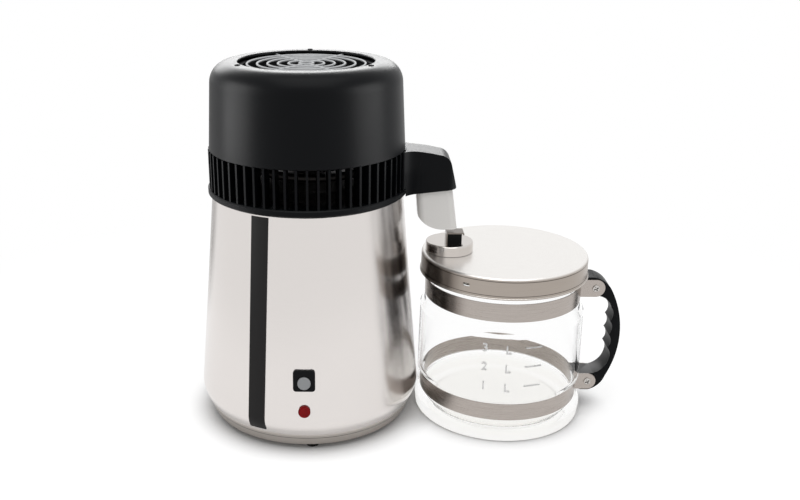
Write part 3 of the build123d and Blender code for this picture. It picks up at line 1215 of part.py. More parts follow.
# Handle screws from the front through both ears, and cap nuts at the back
EAR_OUTSIDE = HANDLE_HALF + SEAT + EAR_THICK
with BuildPart() as handle_screws:
    for z in (UPPER_EAR_Z, LOWER_EAR_Z):
        front = Plane(origin=(JUG_X + EAR_CENTRE, -EAR_OUTSIDE, z), x_dir=(1, 0, 0), z_dir=(0, -1, 0))
        with BuildSketch(front):
            Circle(4)
        extrude(amount=2.2)
        with BuildSketch(front):
            Circle(HANDLE_SCREW_R)
        extrude(amount=-(2 * EAR_OUTSIDE + 2.6))
    fillet(handle_screws.faces().group_by(Axis.Y)[0].edges(), 1.1)
save(handle_screws, "handle_screws", STEEL)

with BuildPart() as handle_nuts:
    for z in (UPPER_EAR_Z, LOWER_EAR_Z):
        back = Plane(origin=(JUG_X + EAR_CENTRE, EAR_OUTSIDE, z), x_dir=(-1, 0, 0), z_dir=(0, 1, 0))
        with BuildSketch(back):
            RegularPolygon(4.4, 6)
            Circle(HANDLE_SCREW_R + SCREW_GAP, mode=Mode.SUBTRACT)
        extrude(amount=3.0)
save(handle_nuts, "handle_nuts", STEEL)

# Lid: a pressed steel cover with an eccentric filler hole, a vent in its rim and a rolled hem
NECK_DEPTH = 5.0
VENT_AZIMUTH = -122.7
with BuildPart() as lid_shell:
    with BuildSketch(section(JUG_X)):
        with BuildLine():
            FilletPolyline(
                (0, LID_TOP_Z),
                (LID_R, LID_TOP_Z),
                (LID_R + 0.5, LID_HEM_Z + 3.5),
                (LID_HEM_R, LID_HEM_Z),
                radius=[3.0, 1.5],
            )
            offset(amount=LID_WALL, side=Side.RIGHT)
        make_face()
    revolve(axis=JUG_AXIS)
    with BuildSketch(level(CAP_X, LID_TOP_Z - LID_WALL)):
        Circle(FILLER_R + LID_WALL)
    extrude(amount=-NECK_DEPTH)
    with BuildSketch(level(CAP_X, LID_TOP_Z)):
        Circle(FILLER_R)
    extrude(amount=-NECK_DEPTH - 2, mode=Mode.SUBTRACT)
    vent_turn = radians(VENT_AZIMUTH)
    vent_z = LID_TOP_Z - 10.1
    vent_plane = Plane(
        origin=(JUG_X + LID_R * cos(vent_turn), LID_R * sin(vent_turn), vent_z),
        x_dir=(-sin(vent_turn), cos(vent_turn), 0),
        z_dir=(cos(vent_turn), sin(vent_turn), 0),
    )
    with BuildSketch(vent_plane.offset(2)):
        SlotOverall(7.5, 3.4)
    extrude(amount=-5, mode=Mode.SUBTRACT)
save(lid_shell, "lid_shell", STEEL)

# Lid seal: a silicone ring that hangs in the lid and sits on the glass rim
SEAL_TOP_Z = LID_TOP_Z - LID_WALL
SEAL_R = LID_R - LID_WALL - 2.5
with BuildPart() as lid_seal:
    with BuildSketch(section(JUG_X)):
        with BuildLine():
            Polyline(
                (NECK_INNER_R - 0.6, SEAL_TOP_Z),
                (SEAL_R, SEAL_TOP_Z),
                (SEAL_R, GLASS_RIM_Z + SLIP),
                (NECK_INNER_R - SLIP, GLASS_RIM_Z + SLIP),
                (NECK_INNER_R - SLIP, GLASS_RIM_Z - 5),
                (NECK_INNER_R - 2.2, GLASS_RIM_Z - 5),
                (NECK_INNER_R - 2.2, SEAL_TOP_Z - 3),
                close=True,
            )
        make_face()
    revolve(axis=JUG_AXIS)
save(lid_seal, "lid_seal", (0.85, 0.85, 0.82))

# Filler cap: an inverted dish over the hole, a plug that centres it, and its knob
CAP_SKIRT_Z = LID_TOP_Z + SLIP
with BuildPart() as cap_disc:
    with BuildSketch(section(CAP_X)):
        with BuildLine():
            FilletPolyline(
                (0, CAP_TOP_Z),
                (CAP_R, CAP_TOP_Z),
                (CAP_R, CAP_SKIRT_Z),
                radius=1.6,
            )
            offset(amount=CAP_WALL, side=Side.RIGHT)
        make_face()
    revolve(axis=CAP_AXIS)
    with BuildSketch(level(CAP_X + KNOB_SHIFT, CAP_TOP_Z)):
        Circle(1.5 + SCREW_GAP)
    extrude(amount=-CAP_WALL, mode=Mode.SUBTRACT)
save(cap_disc, "cap_disc", STEEL)

PLUG_TOP_Z = CAP_TOP_Z - CAP_WALL
PLUG_WALL = 2.0
with BuildPart() as cap_plug:
    with BuildSketch(level(CAP_X, PLUG_TOP_Z)):
        Circle(FILLER_R - SLIP)
    extrude(amount=-(PLUG_TOP_Z - LID_TOP_Z + NECK_DEPTH - 1))
    with BuildSketch(level(CAP_X, PLUG_TOP_Z - 4)):
        Circle(FILLER_R - SLIP - PLUG_WALL)
    extrude(amount=-20, mode=Mode.SUBTRACT)
    with BuildSketch(level(CAP_X + KNOB_SHIFT, PLUG_TOP_Z)):
        Circle(4)
    extrude(amount=-4, mode=Mode.SUBTRACT)
save(cap_plug, "cap_plug", (0.85, 0.85, 0.82))

# Knob: a steel strap bent over one end and the top of a black insert, on one screw
STRAP = 1.4
KNOB_LEFT = KNOB_SHIFT - KNOB_LENGTH / 2
INSERT_TOP_Z = KNOB_TOP_Z - STRAP - SEAT
with BuildPart() as knob_strap:
    with BuildSketch(section(CAP_X)):
        with BuildLine():
            FilletPolyline(
                (KNOB_LEFT, CAP_TOP_Z),
                (KNOB_LEFT, KNOB_TOP_Z),
                (KNOB_LEFT + KNOB_LENGTH, KNOB_TOP_Z),
                (KNOB_LEFT + KNOB_LENGTH + 0.6, KNOB_TOP_Z - 2.2),
                radius=[1.6, 1.0],
            )
            offset(amount=STRAP, side=Side.RIGHT)
        make_face()
    extrude(amount=KNOB_WIDTH / 2, both=True)
save(knob_strap, "knob_strap", STEEL)

with BuildPart() as knob_insert:
    with BuildSketch(level(CAP_X + KNOB_LEFT + STRAP + SEAT, CAP_TOP_Z)):
        with Locations(((KNOB_LENGTH - 2 * STRAP - 0.8) / 2, 0)):
            Rectangle(KNOB_LENGTH - 2 * STRAP - 0.8, KNOB_WIDTH - 0.6)
    extrude(amount=INSERT_TOP_Z - CAP_TOP_Z)
    with BuildSketch(level(CAP_X + KNOB_SHIFT, CAP_TOP_Z)):
        Circle(1.5 + SCREW_GAP)
    extrude(amount=6, mode=Mode.SUBTRACT)
save(knob_insert, "knob_insert", BLACK)

with BuildPart() as knob_screw:
    with BuildSketch(level(CAP_X + KNOB_SHIFT, PLUG_TOP_Z)):
        Circle(3)
    extrude(amount=-2)
    with BuildSketch(level(CAP_X + KNOB_SHIFT, PLUG_TOP_Z)):
        Circle(1.5)
    extrude(amount=6)
save(knob_screw, "knob_screw", STEEL)
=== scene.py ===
# %% [markdown]
# A countertop water distiller in Blender.
# A steel boiler carries a black fan head with a spout arm, and a glass jug with a steel lid
# stands beside it. The engineering model gives every size and place. This script gives each
# piece its finish, and makes anew the pieces whose look the engineering model only hints at.

import json
import math

import bmesh
import bpy
from mathutils import Matrix, Vector


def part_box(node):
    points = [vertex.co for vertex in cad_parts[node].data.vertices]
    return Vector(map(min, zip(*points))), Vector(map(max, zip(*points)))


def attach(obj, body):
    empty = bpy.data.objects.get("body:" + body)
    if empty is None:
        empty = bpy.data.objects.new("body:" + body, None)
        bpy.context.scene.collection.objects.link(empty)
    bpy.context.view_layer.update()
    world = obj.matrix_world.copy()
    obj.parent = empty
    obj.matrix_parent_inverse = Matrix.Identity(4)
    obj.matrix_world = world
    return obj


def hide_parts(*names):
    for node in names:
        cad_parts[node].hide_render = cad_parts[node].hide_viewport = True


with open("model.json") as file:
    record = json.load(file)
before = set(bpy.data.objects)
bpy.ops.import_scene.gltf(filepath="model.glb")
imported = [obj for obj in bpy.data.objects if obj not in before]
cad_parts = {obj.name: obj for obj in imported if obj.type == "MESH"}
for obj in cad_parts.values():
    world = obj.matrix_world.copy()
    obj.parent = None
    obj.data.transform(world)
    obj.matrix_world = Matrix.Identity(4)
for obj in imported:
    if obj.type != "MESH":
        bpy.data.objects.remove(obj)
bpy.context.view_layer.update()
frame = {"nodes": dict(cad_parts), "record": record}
MM = 0.001

# %% [markdown]
# Two upright axes carry nearly everything: the boiler's and the jug's. The filler cap has a
# third, off the middle of the lid. They are read from the boxes of round pieces.

# %% The three axes
def middle(node):
    """The middle of a node's box, in metres."""
    low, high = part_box(node)
    return (low + high) / 2


boiler_x = middle("boiling_tank").x
jug_x = middle("lid_seal").x
cap_x = middle("cap_disc").x
print("axes at x", round(boiler_x, 5), round(jug_x, 5), round(cap_x, 5))

# %% [markdown]
# The photograph was taken from in front and well above, with a moderately long lens. The
# place and lens below were worked out from the round edges of the cover, the shell, the lid
# and the jug's foot, which all show as ellipses. The small turn puts both halves of the
# object in step with it.

# %% The camera
CAMERA_TURN = math.radians(1.0)
CAMERA_BACK = 0.9294
CAMERA_SIDE = 0.0533
CAMERA_HEIGHT = 0.5052
CAMERA_PITCH = math.radians(69.62)
CAMERA_LENS = 42.83              # millimetres, on Blender's sensor 36 mm wide
CAMERA_SHIFT_X = 0.0692
CAMERA_SHIFT_Y = 0.0162

camera_data = bpy.data.cameras.new("camera")
camera_data.lens = CAMERA_LENS
camera_data.shift_x = CAMERA_SHIFT_X
camera_data.shift_y = CAMERA_SHIFT_Y
camera = bpy.data.objects.new("camera", camera_data)
bpy.context.scene.collection.objects.link(camera)
camera.location = (boiler_x + CAMERA_SIDE, -CAMERA_BACK, CAMERA_HEIGHT)
camera.rotation_euler = (CAMERA_PITCH, 0, CAMERA_TURN)
bpy.context.scene.camera = camera

# %% [markdown]
# A material is a small tree of nodes. One function adds a node: plain values are set on its
# sockets, and another node's output given as a value is linked instead. A few more give the
# output of the commonest nodes. Colours are written as on a colour card, in sRGB, and turned
# to the linear light that the shader counts in.

# %% Nodes and colours
def linear(card, alpha=1.0):
    """A colour card's hex value as linear red, green, blue and alpha."""
    parts = [int(card[place : place + 2], 16) / 255 for place in (1, 3, 5)]
    bright = [part / 12.92 if part <= 0.04045 else ((part + 0.055) / 1.055) ** 2.4 for part in parts]
    return (*bright, alpha)


def add_node(tree, kind, inputs=None, **settings):
    """A node of one kind, with its settings, and its sockets set or linked by name or number."""
    made = tree.nodes.new(kind)
    for name, value in settings.items():
        setattr(made, name, value)
    for name, value in (inputs or {}).items():
        if isinstance(value, bpy.types.NodeSocket):
            tree.links.new(value, made.inputs[name])
        else:
            made.inputs[name].default_value = value
    return made


def combined(tree, operation, first, second=0.0):
    """Two numbers brought together by one operation."""
    return add_node(tree, "ShaderNodeMath", {0: first, 1: second}, operation=operation).outputs[0]


def mapped(tree, value, source=(0.0, 1.0), target=(0.0, 1.0), smooth=False):
    """A number carried from one range to another, and held at the ends."""
    ends = {"From Min": source[0], "From Max": source[1], "To Min": target[0], "To Max": target[1]}
    style = "SMOOTHSTEP" if smooth else "LINEAR"
    made = add_node(tree, "ShaderNodeMapRange", {"Value": value, **ends}, interpolation_type=style)
    return made.outputs[0]


def object_place(tree, centre=(0, 0, 0), scale=(1, 1, 1)):
    """Object coordinates with a chosen centre, each axis stretched."""
    place = add_node(tree, "ShaderNodeTexCoord").outputs["Object"]
    moved = add_node(tree, "ShaderNodeVectorMath", {0: place, 1: centre}, operation="SUBTRACT")
    made = add_node(tree, "ShaderNodeVectorMath", {0: moved.outputs[0], 1: scale}, operation="MULTIPLY")
    return made.outputs[0]


def noise(tree, place, scale, detail=2.0):
    """Cloudy noise between 0 and 1 over a place, with so many clouds in a metre."""
    made = add_node(tree, "ShaderNodeTexNoise", {"Vector": place, "Scale": scale, "Detail": detail})
    return made.outputs["Fac"]


def mixed(tree, share, first, second, blend="MIX"):
    """Two colours, the second laid over the first with a share."""
    made = add_node(tree, "ShaderNodeMix", {"Factor": share, "A": first, "B": second},
                    data_type="RGBA", blend_type=blend)
    return made.outputs["Result"]


def split(tree, vector):
    """The three outputs of a vector, by axis name."""
    return add_node(tree, "ShaderNodeSeparateXYZ", {0: vector}).outputs


def bumped(tree, height, strength, depth, under=None):
    """A normal shaken by a height, over another normal where one is given."""
    sockets = {"Height": height, "Strength": strength, "Distance": depth}
    if under is not None:
        sockets["Normal"] = under
    return add_node(tree, "ShaderNodeBump", sockets).outputs[0]


def openness(tree, reach, **settings):
    """How open a point is to its surroundings, 1 in the clear and 0 in a corner."""
    return add_node(tree, "ShaderNodeAmbientOcclusion", {"Distance": reach}, **settings).outputs["AO"]


def new_material(name, **sockets):
    """A material with one Principled shader, its sockets given with _ for a space."""
    material = bpy.data.materials.new(name)
    material.use_nodes = True
    shader = material.node_tree.nodes["Principled BSDF"]
    for socket, value in sockets.items():
        shader.inputs[socket.replace("_", " ")].default_value = value
    return material, material.node_tree, shader


def ramp(tree, factor, stops):
    """A colour ramp over a factor, with (place, colour) stops."""
    made = add_node(tree, "ShaderNodeValToRGB", {"Fac": factor})
    elements = made.color_ramp.elements
    while len(elements) < len(stops):
        elements.new(0.5)
    for element, (place, colour) in zip(elements, stops):
        element.position = place
        element.color = colour
    return made.outputs["Color"]


# %% [markdown]
# The studio is a white sweep. The world is white where the camera, metal or glass sees it,
# and dimmer as a lamp, so that the object is lit at a plain level. The floor is white paper
# that keeps the shadow under the feet.

# %% The world
LAMP_LEVEL = 0.5
world = bpy.data.worlds.new("studio")
bpy.context.scene.world = world
world.use_nodes = True
sky = world.node_tree
ray = add_node(sky, "ShaderNodeLightPath").outputs
seen = combined(sky, "MAXIMUM", ray["Is Camera Ray"], ray["Is Glossy Ray"])
seen = combined(sky, "MAXIMUM", seen, ray["Is Transmission Ray"])
level = mapped(sky, seen, target=(LAMP_LEVEL, 1.0))
sky.links.new(level, sky.nodes["Background"].inputs["Strength"])
sky.nodes["Background"].inputs["Color"].default_value = (1, 1, 1, 1)

# %% [markdown]
# Near the object the paper is partly lit and partly glows, so that soft shadows show on it
# and the rest is just white. Far out it only glows. Close to a foot or the pan's rim it loses
# its glow, which leaves a seam of shadow. Glass shows it almost without shadow.

# %% The floor
FLOOR_SIZE = 12.0
PAPER_SHARE = 0.55               # how much of the paper near the object glows and takes no shadow
PAPER_GLOW = 1.35                # so that this share and the lit paper together are just white
GLASS_SHARE = 0.97               # the same share where the paper is seen through glass
SHADOW_REACH = 0.25              # metres from the middle at which the shadows start to fade
SWEEP_REACH = 0.75               # metres from the middle beyond which the paper only glows
CONTACT_REACH = 0.035            # how far the seam of shadow goes out from what stands there
CONTACT_OPEN = (0.35, 0.95)      # how open the paper is in the middle of that seam and at its end
bpy.ops.object.select_all(action="DESELECT")
bpy.ops.mesh.primitive_plane_add(size=FLOOR_SIZE, location=(0, 0, 0))
floor = bpy.context.object
floor.name = "floor"
paper, tree, shader = new_material("white_paper", Base_Color=linear("#f4f4f4"), Roughness=0.8)
shader.inputs["Specular IOR Level"].default_value = 0.0
ray = add_node(tree, "ShaderNodeLightPath").outputs
place = add_node(tree, "ShaderNodeTexCoord").outputs["Object"]
far = add_node(tree, "ShaderNodeVectorMath", {0: place}, operation="LENGTH").outputs["Value"]
sweep = mapped(tree, far, (SHADOW_REACH, SWEEP_REACH), (PAPER_SHARE, 1.0), smooth=True)
contact = mapped(tree, openness(tree, CONTACT_REACH, samples=16), CONTACT_OPEN, smooth=True)
seen = combined(tree, "MAXIMUM", ray["Is Camera Ray"], ray["Is Glossy Ray"])
share = combined(tree, "MULTIPLY", combined(tree, "MULTIPLY", seen, sweep), contact)
through_glass = combined(tree, "MULTIPLY", ray["Is Transmission Ray"], GLASS_SHARE)
share = combined(tree, "MAXIMUM", share, through_glass)
strength = mapped(tree, share, (PAPER_SHARE, 1.0), (PAPER_GLOW, 1.0))
glow = add_node(tree, "ShaderNodeEmission", {"Color": (1, 1, 1, 1), "Strength": strength}).outputs[0]
both = add_node(tree, "ShaderNodeMixShader", {0: share, 1: shader.outputs[0], 2: glow}).outputs[0]
tree.links.new(both, tree.nodes["Material Output"].inputs["Surface"])
floor.data.materials.append(paper)

# %% [markdown]
# One wide soft box lights everything from above. The other three are rim lights: they reach
# only the black mouldings, which would be a flat hole in the picture without them. The one
# behind grazes their tops, and the two at the sides draw the soft upright gradients. No lamp
# shows to the camera or through the glass.

# %% The lamps
BLACK_MOULDINGS = ("head_cover", "vent_collar", "spout_arm", "reset_bezel", "trim_strip")
black_pieces = bpy.data.collections.new("black_pieces")
for moulding in BLACK_MOULDINGS:
    black_pieces.objects.link(frame["nodes"][moulding])


def soft_box(name, place, aim, width, height, watts, only=None):
    """A lamp behind a white cloth, at a place, turned towards a point, for all or some pieces."""
    lamp = bpy.data.lights.new(name, "AREA")
    lamp.shape = "RECTANGLE"
    lamp.size = width
    lamp.size_y = height
    lamp.energy = watts
    box = bpy.data.objects.new(name, lamp)
    bpy.context.scene.collection.objects.link(box)
    box.location = place
    box.rotation_euler = (Vector(aim) - Vector(place)).to_track_quat("-Z", "Y").to_euler()
    box.visible_camera = False
    box.visible_transmission = False
    if only is not None:
        box.light_linking.receiver_collection = only
    return box


HEAD_AIM = (boiler_x, 0, 0.3)
soft_box("top_box", (0.0, -0.5, 1.9), (0, 0, 0.1), width=1.6, height=1.6, watts=14)
soft_box("left_rim", (-1.4, -0.15, 0.4), HEAD_AIM, width=0.9, height=1.2, watts=26, only=black_pieces)
soft_box("right_rim", (1.3, -0.3, 0.45), HEAD_AIM, width=1.0, height=1.2, watts=24, only=black_pieces)
soft_box("back_rim", (-0.35, 2.0, 1.05), (0, 0, 0.3), width=2.2, height=0.7, watts=34, only=black_pieces)

# %% [markdown]
# Polished steel shows what stands round it. A dark card between boiler and jug makes the
# upright streaks on the right of the shell and the brown shade on the left of the bands, and
# a grey one behind the boiler darkens the shell's left edge. Only reflections see them.

# %% The dark cards
def dark_card(name, foot, width, height, turn, finish):
    """An upright card on its foot's middle, turned about Z, seen only in reflections."""
    bpy.ops.object.select_all(action="DESELECT")
    bpy.ops.mesh.primitive_plane_add(size=1, location=(foot[0], foot[1], foot[2] + height / 2),
                                     rotation=(math.pi / 2, 0, turn))
    card = bpy.context.object
    card.name = name
    card.scale = (width, height, 1)
    card.visible_camera = False
    card.visible_shadow = False
    card.visible_diffuse = False
    card.visible_transmission = False
    card.data.materials.append(finish)
    return card


STREAKS = (60.0, 60.0, 7.0)      # streaks in a metre, along each axis
FOOT_FADE = (0.02, 0.12)         # heights between which a card comes up from clear
SIDE_FADE = 0.35                 # the share of a card's width that fades at each side


def card_paper(name, card, thin, thick, most):
    """Dark paper in upright streaks, clear where they are under thin, and at its edges."""
    material, tree, shader = new_material(name, Base_Color=linear(card), Roughness=1.0)
    place = add_node(tree, "ShaderNodeNewGeometry").outputs["Position"]
    long = add_node(tree, "ShaderNodeVectorMath", {0: place, 1: STREAKS}, operation="MULTIPLY")
    cover = mapped(tree, noise(tree, long.outputs[0], 1.0, 3.0), (thin, thick), (0.0, most))
    low = mapped(tree, split(tree, place)["Z"], FOOT_FADE)
    across = split(tree, add_node(tree, "ShaderNodeTexCoord").outputs["UV"])["X"]
    from_side = combined(tree, "PINGPONG", across, 0.5)
    side = mapped(tree, from_side, (0.0, SIDE_FADE), smooth=True)
    alpha = combined(tree, "MULTIPLY", cover, combined(tree, "MULTIPLY", low, side))
    tree.links.new(alpha, shader.inputs["Alpha"])
    return material


GAP_X = (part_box("outer_shell")[1].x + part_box("glass_jug")[0].x) / 2
brown_paper = card_paper("card_brown", "#241b17", thin=0.3, thick=0.7, most=0.95)
grey_paper = card_paper("card_grey", "#4a443f", thin=0.1, thick=0.8, most=0.8)
dark_card("gap_card", (GAP_X, -0.03, 0.02), width=0.13, height=0.24,
          turn=math.pi / 2, finish=brown_paper)
dark_card("edge_card", (boiler_x - 0.22, 0.16, 0.0), width=0.22, height=0.34,
          turn=0.0, finish=grey_paper)

# %% [markdown]
# Polished stainless sheet: rolled thin, drawn and buffed. Buffing leaves it almost a mirror,
# with a soft haze, and the sheet is never quite flat, so what it shows is a little bent. Its
# polishing marks are far finer than a pixel, and are drawn 0.4 mm wide.

# %% Polished stainless steel
POLISH_MARK = 0.4 * MM
SHEET_WAVES = 14.0               # slow waves of haze and of shape in a metre
ALONG_MARKS = (0.01, 0.01, 1)    # the marks run level, so their noise hardly changes along X and Y
UP_THE_SHEET = (1, 1, 0.2)       # the waves are five times as long upright


def polished_steel(name, card, roughness, scratch=0.12):
    """Buffed sheet steel: soft haze, a faint wave, and level polishing marks that smear upright."""
    material, tree, shader = new_material(name, Base_Color=linear(card), Metallic=1.0)
    patches = noise(tree, object_place(tree), SHEET_WAVES, 4.0)
    haze = mapped(tree, patches, target=(roughness - 0.03, roughness + 0.04))
    tree.links.new(haze, shader.inputs["Roughness"])
    marks = noise(tree, object_place(tree, scale=ALONG_MARKS), 1 / POLISH_MARK)
    fine = bumped(tree, marks, scratch, 0.06 * MM)
    wave = noise(tree, object_place(tree, scale=UP_THE_SHEET), SHEET_WAVES, 1.0)
    tree.links.new(bumped(tree, wave, 0.3, 0.5 * MM, under=fine), shader.inputs["Normal"])
    return material


shell_steel = polished_steel("polished_stainless", "#ded9d6", 0.2, 0.5)
cap_steel = polished_steel("buffed_stainless", "#cfcac6", 0.12)
strap_steel = polished_steel("strap_stainless", "#7d7671", 0.2)
# The coil and the vapour hood are coloured near black: that colour is painted shade, for the shade
# inside the head.
coil_steel_painted_shade = polished_steel("coil_stainless_painted_shade", "#2c2a29", 0.42)

# %% [markdown]
# The lid and the bands are brushed on a lathe, so the scratches are rings about the jug's
# axis. A noise that depends only on the distance from that axis and on the height gives such
# rings on flat tops and on upright sides alike. Real scratches are finer than a pixel, so
# they are drawn about a third of a millimetre wide. The pan is brushed in the same way about
# the boiler's axis. Dark lines are painted on it and on the lid where their sheet is folded,
# as painted shade in the folds, and the lid's upright sides get painted shade as well.

# %% Brushed stainless steel
SCRATCH = 0.35 * MM
SCRATCH_LENGTH = 1.2 * MM        # how fast a scratch changes along its ring, per radian
# Painted shade: a darker colour on steep faces, and dark lines where the sheet is folded.
SIDE_SHADE_RISE = (0.9, 0.3)             # the normal's rise on a nearly level face and on a steep one
SEAM_LIGHT = 0.25                # the share of its colour that is left in the middle of a seam
SEAM_CORE = 0.4                  # the share of a seam's width that is as dark as that
SEAM_HALF = 0.5 * MM
HEM_SEAM_HALF = 0.4 * MM
RIM_SEAM_DOWN = 3.2 * MM         # from the lid's top down to its upper seam
HEM_SEAM_UP = 3.6 * MM           # from the lid's hem up to its lower seam
PAN_SEAM_Z = 14.5 * MM


def brushed_steel(name, dark, light, roughness, axis_x=jug_x, upright=None, fold_shades=()):
    """Steel brushed in rings, with painted shade on upright faces and in folds at (height, half width).
    """
    material, tree, shader = new_material(name, Metallic=1.0)
    place = split(tree, object_place(tree, centre=(axis_x, 0, 0)))
    flat = add_node(tree, "ShaderNodeCombineXYZ", {"X": place["X"], "Y": place["Y"]}).outputs[0]
    radius = add_node(tree, "ShaderNodeVectorMath", {0: flat}, operation="LENGTH").outputs["Value"]
    turn = combined(tree, "ARCTAN2", place["Y"], place["X"])
    arc = combined(tree, "MULTIPLY", turn, SCRATCH_LENGTH)
    rings = add_node(tree, "ShaderNodeCombineXYZ", {"X": radius, "Y": arc, "Z": place["Z"]}).outputs[0]
    lines = noise(tree, rings, 1 / SCRATCH, 3.0)
    colour = ramp(tree, lines, [(0.35, linear(dark)), (0.65, linear(light))])
    # Painted shade: steep faces are multiplied by a darker colour, as if less light fell on them than on
    # the top.
    if upright:
        normal = add_node(tree, "ShaderNodeNewGeometry").outputs["Normal"]
        side = mapped(tree, split(tree, normal)["Z"], SIDE_SHADE_RISE)
        colour = mixed(tree, side, colour, linear(upright), "MULTIPLY")
    # Painted shade in the folds: the colour darkens towards each fold's height.
    for seam_z, half_width in fold_shades:
        above = combined(tree, "ABSOLUTE", combined(tree, "SUBTRACT", place["Z"], seam_z))
        clear = mapped(tree, above, (SEAM_CORE * half_width, half_width), (SEAM_LIGHT, 1.0))
        colour = mixed(tree, 1.0, colour, clear, "MULTIPLY")
    tree.links.new(colour, shader.inputs["Base Color"])
    rough = mapped(tree, lines, target=(roughness - 0.06, roughness + 0.06))
    tree.links.new(rough, shader.inputs["Roughness"])
    tree.links.new(bumped(tree, lines, 0.2, 0.03 * MM), shader.inputs["Normal"])
    return material


# The lid's darker upright colour and the fold lines of lid and pan are painted shade.
low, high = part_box("lid_shell")
lid_fold_shades = ((high.z - RIM_SEAM_DOWN, SEAM_HALF), (low.z + HEM_SEAM_UP, HEM_SEAM_HALF))
pan_fold_shades = ((PAN_SEAM_Z, SEAM_HALF),)
lid_steel = brushed_steel("lid_brushed_stainless", "#eeebe8", "#f3f1ee", 0.3,
                          upright="#b3aba4", fold_shades=lid_fold_shades)
band_steel = brushed_steel("band_brushed_stainless", "#a9a19b", "#b4aca6", 0.28)
base_steel = brushed_steel("base_brushed_stainless", "#b6afa9", "#bdb7b1", 0.4,
                           axis_x=boiler_x, fold_shades=pan_fold_shades)

# %% [markdown]
# The head, arm and handle are moulded ABS. Its mould was etched with a fine grain, which
# makes the black satin: wide soft lights and no sharp ones. The grain is drawn coarser than
# it is, so that it shows. Hands leave slow patches of more and less shine.

# %% Moulded plastics
HAND_PATCHES = 18.0              # in a metre


def moulded(name, card, roughness, grain_mm, depth_mm, gloss=0.4):
    """Moulded plastic with an etched grain, given its size and depth in millimetres."""
    material, tree, shader = new_material(name, Base_Color=linear(card), Roughness=roughness)
    shader.inputs["Specular IOR Level"].default_value = gloss
    grain = noise(tree, object_place(tree), 1 / (grain_mm * MM))
    patches = noise(tree, object_place(tree), HAND_PATCHES, 3.0)
    rough = mapped(tree, patches, target=(roughness - 0.04, roughness + 0.05))
    tree.links.new(rough, shader.inputs["Roughness"])
    tree.links.new(bumped(tree, grain, 0.3, depth_mm * MM), shader.inputs["Normal"])
    return material


satin_black = moulded("satin_black_abs", "#050608", 0.36, 0.7, 0.04, gloss=0.09)
gloss_black = moulded("gloss_black_abs", "#08090b", 0.22, 2.0, 0.02, gloss=0.1)
strip_black = moulded("strip_black_vinyl", "#191818", 0.34, 1.5, 0.03, gloss=0.12)
nozzle_grey = moulded("nozzle_grey_abs", "#e9e7e4", 0.3, 0.7, 0.03)
button_grey = moulded("button_grey_abs", "#9b9d9f", 0.4, 0.7, 0.04)
fan_black = moulded("fan_black_pbt", "#151517", 0.5, 0.9, 0.05)
rubber_black = moulded("foot_black_rubber", "#121212", 0.75, 0.9, 0.1, gloss=0.2)
wire_paint = moulded("guard_grey_paint", "#bcbec0", 0.22, 1.2, 0.01, gloss=0.8)

# %% [markdown]
# Silicone is milky: light goes a little way in and comes out softened. The red lens of the
# lamp is clear acrylic, dark because nothing is lit behind it.

# %% Silicone
MILK_CLOUDS = 60.0               # in a metre
LIGHT_DEPTH = 3 * MM             # how far light goes into silicone
silicone, tree, shader = new_material(
    "milky_silicone", Base_Color=linear("#e4e2dc"), Roughness=0.45, Subsurface_Weight=0.3, IOR=1.41
)
shader.inputs["Subsurface Radius"].default_value = (LIGHT_DEPTH, LIGHT_DEPTH, LIGHT_DEPTH)
milk = noise(tree, object_place(tree), MILK_CLOUDS)
cloud = ramp(tree, milk, [(0.3, linear("#d9d6cf")), (0.7, linear("#e9e7e1"))])
tree.links.new(cloud, shader.inputs["Base Color"])

# %% The lamp's lens
LENS_FACETS = 900.0              # in a metre
lens_red, tree, shader = new_material("lamp_red_acrylic", Roughness=0.18, Specular_IOR_Level=0.1)
cells = add_node(tree, "ShaderNodeTexVoronoi", {"Vector": object_place(tree), "Scale": LENS_FACETS})
facets = ramp(tree, cells.outputs["Distance"], [(0.0, linear("#a01216")), (0.8, linear("#74090d"))])
tree.links.new(facets, shader.inputs["Base Color"])

# %% [markdown]
# Screws, pins and nuts are zinc plated, the shield is plain aluminium, the bush is bronze and
# the motor is wound with varnished copper. They differ in colour and in how dull they are, and
# all get painted shade in their recesses, where their colour goes over to near black.

# %% Small metals
RECESS_SHADE_REACH = 1.5 * MM
RECESS_SHADE_OPEN = (0.35, 0.8)


def small_metal(name, card, roughness, speck_mm=1.0):
    """Bare or plated metal with a slightly uneven sheen, and painted shade in its recesses."""
    material, tree, shader = new_material(name, Base_Color=linear(card), Metallic=1.0)
    specks = noise(tree, object_place(tree), 1 / (speck_mm * MM))
    rough = mapped(tree, specks, target=(roughness - 0.05, roughness + 0.08))
    tree.links.new(rough, shader.inputs["Roughness"])
    # Painted shade: the colour goes over to near black where a point is enclosed, as in a screw's cross.
    unshaded_share = mapped(tree, openness(tree, RECESS_SHADE_REACH), RECESS_SHADE_OPEN)
    colour = mixed(tree, unshaded_share, linear("#141313"), linear(card))
    tree.links.new(colour, shader.inputs["Base Color"])
    return material


bright_zinc = small_metal("bright_zinc_plate", "#c4c0bc", 0.24)
black_oxide = small_metal("black_oxide_steel", "#1a1a1c", 0.4)
bare_aluminium = small_metal("bare_aluminium", "#c9cacc", 0.38, 2.0)
hot_steel = small_metal("heat_dulled_steel", "#59534e", 0.45, 2.0)
oiled_bronze = small_metal("sintered_bronze", "#b4844a", 0.4)
copper = small_metal("varnished_copper", "#a05a30", 0.3, 0.6)

# %% [markdown]
# The jug is pressed borosilicate glass. It is clear, with slow waves from the mould, and its
# thick foot is left rougher and a little creamy, which makes it look whitish. Its index is far
# under the 1.47 of the real glass: with that, the curved shoulder shows a dark slice of the
# lower band, which the photographed jug doesn't.

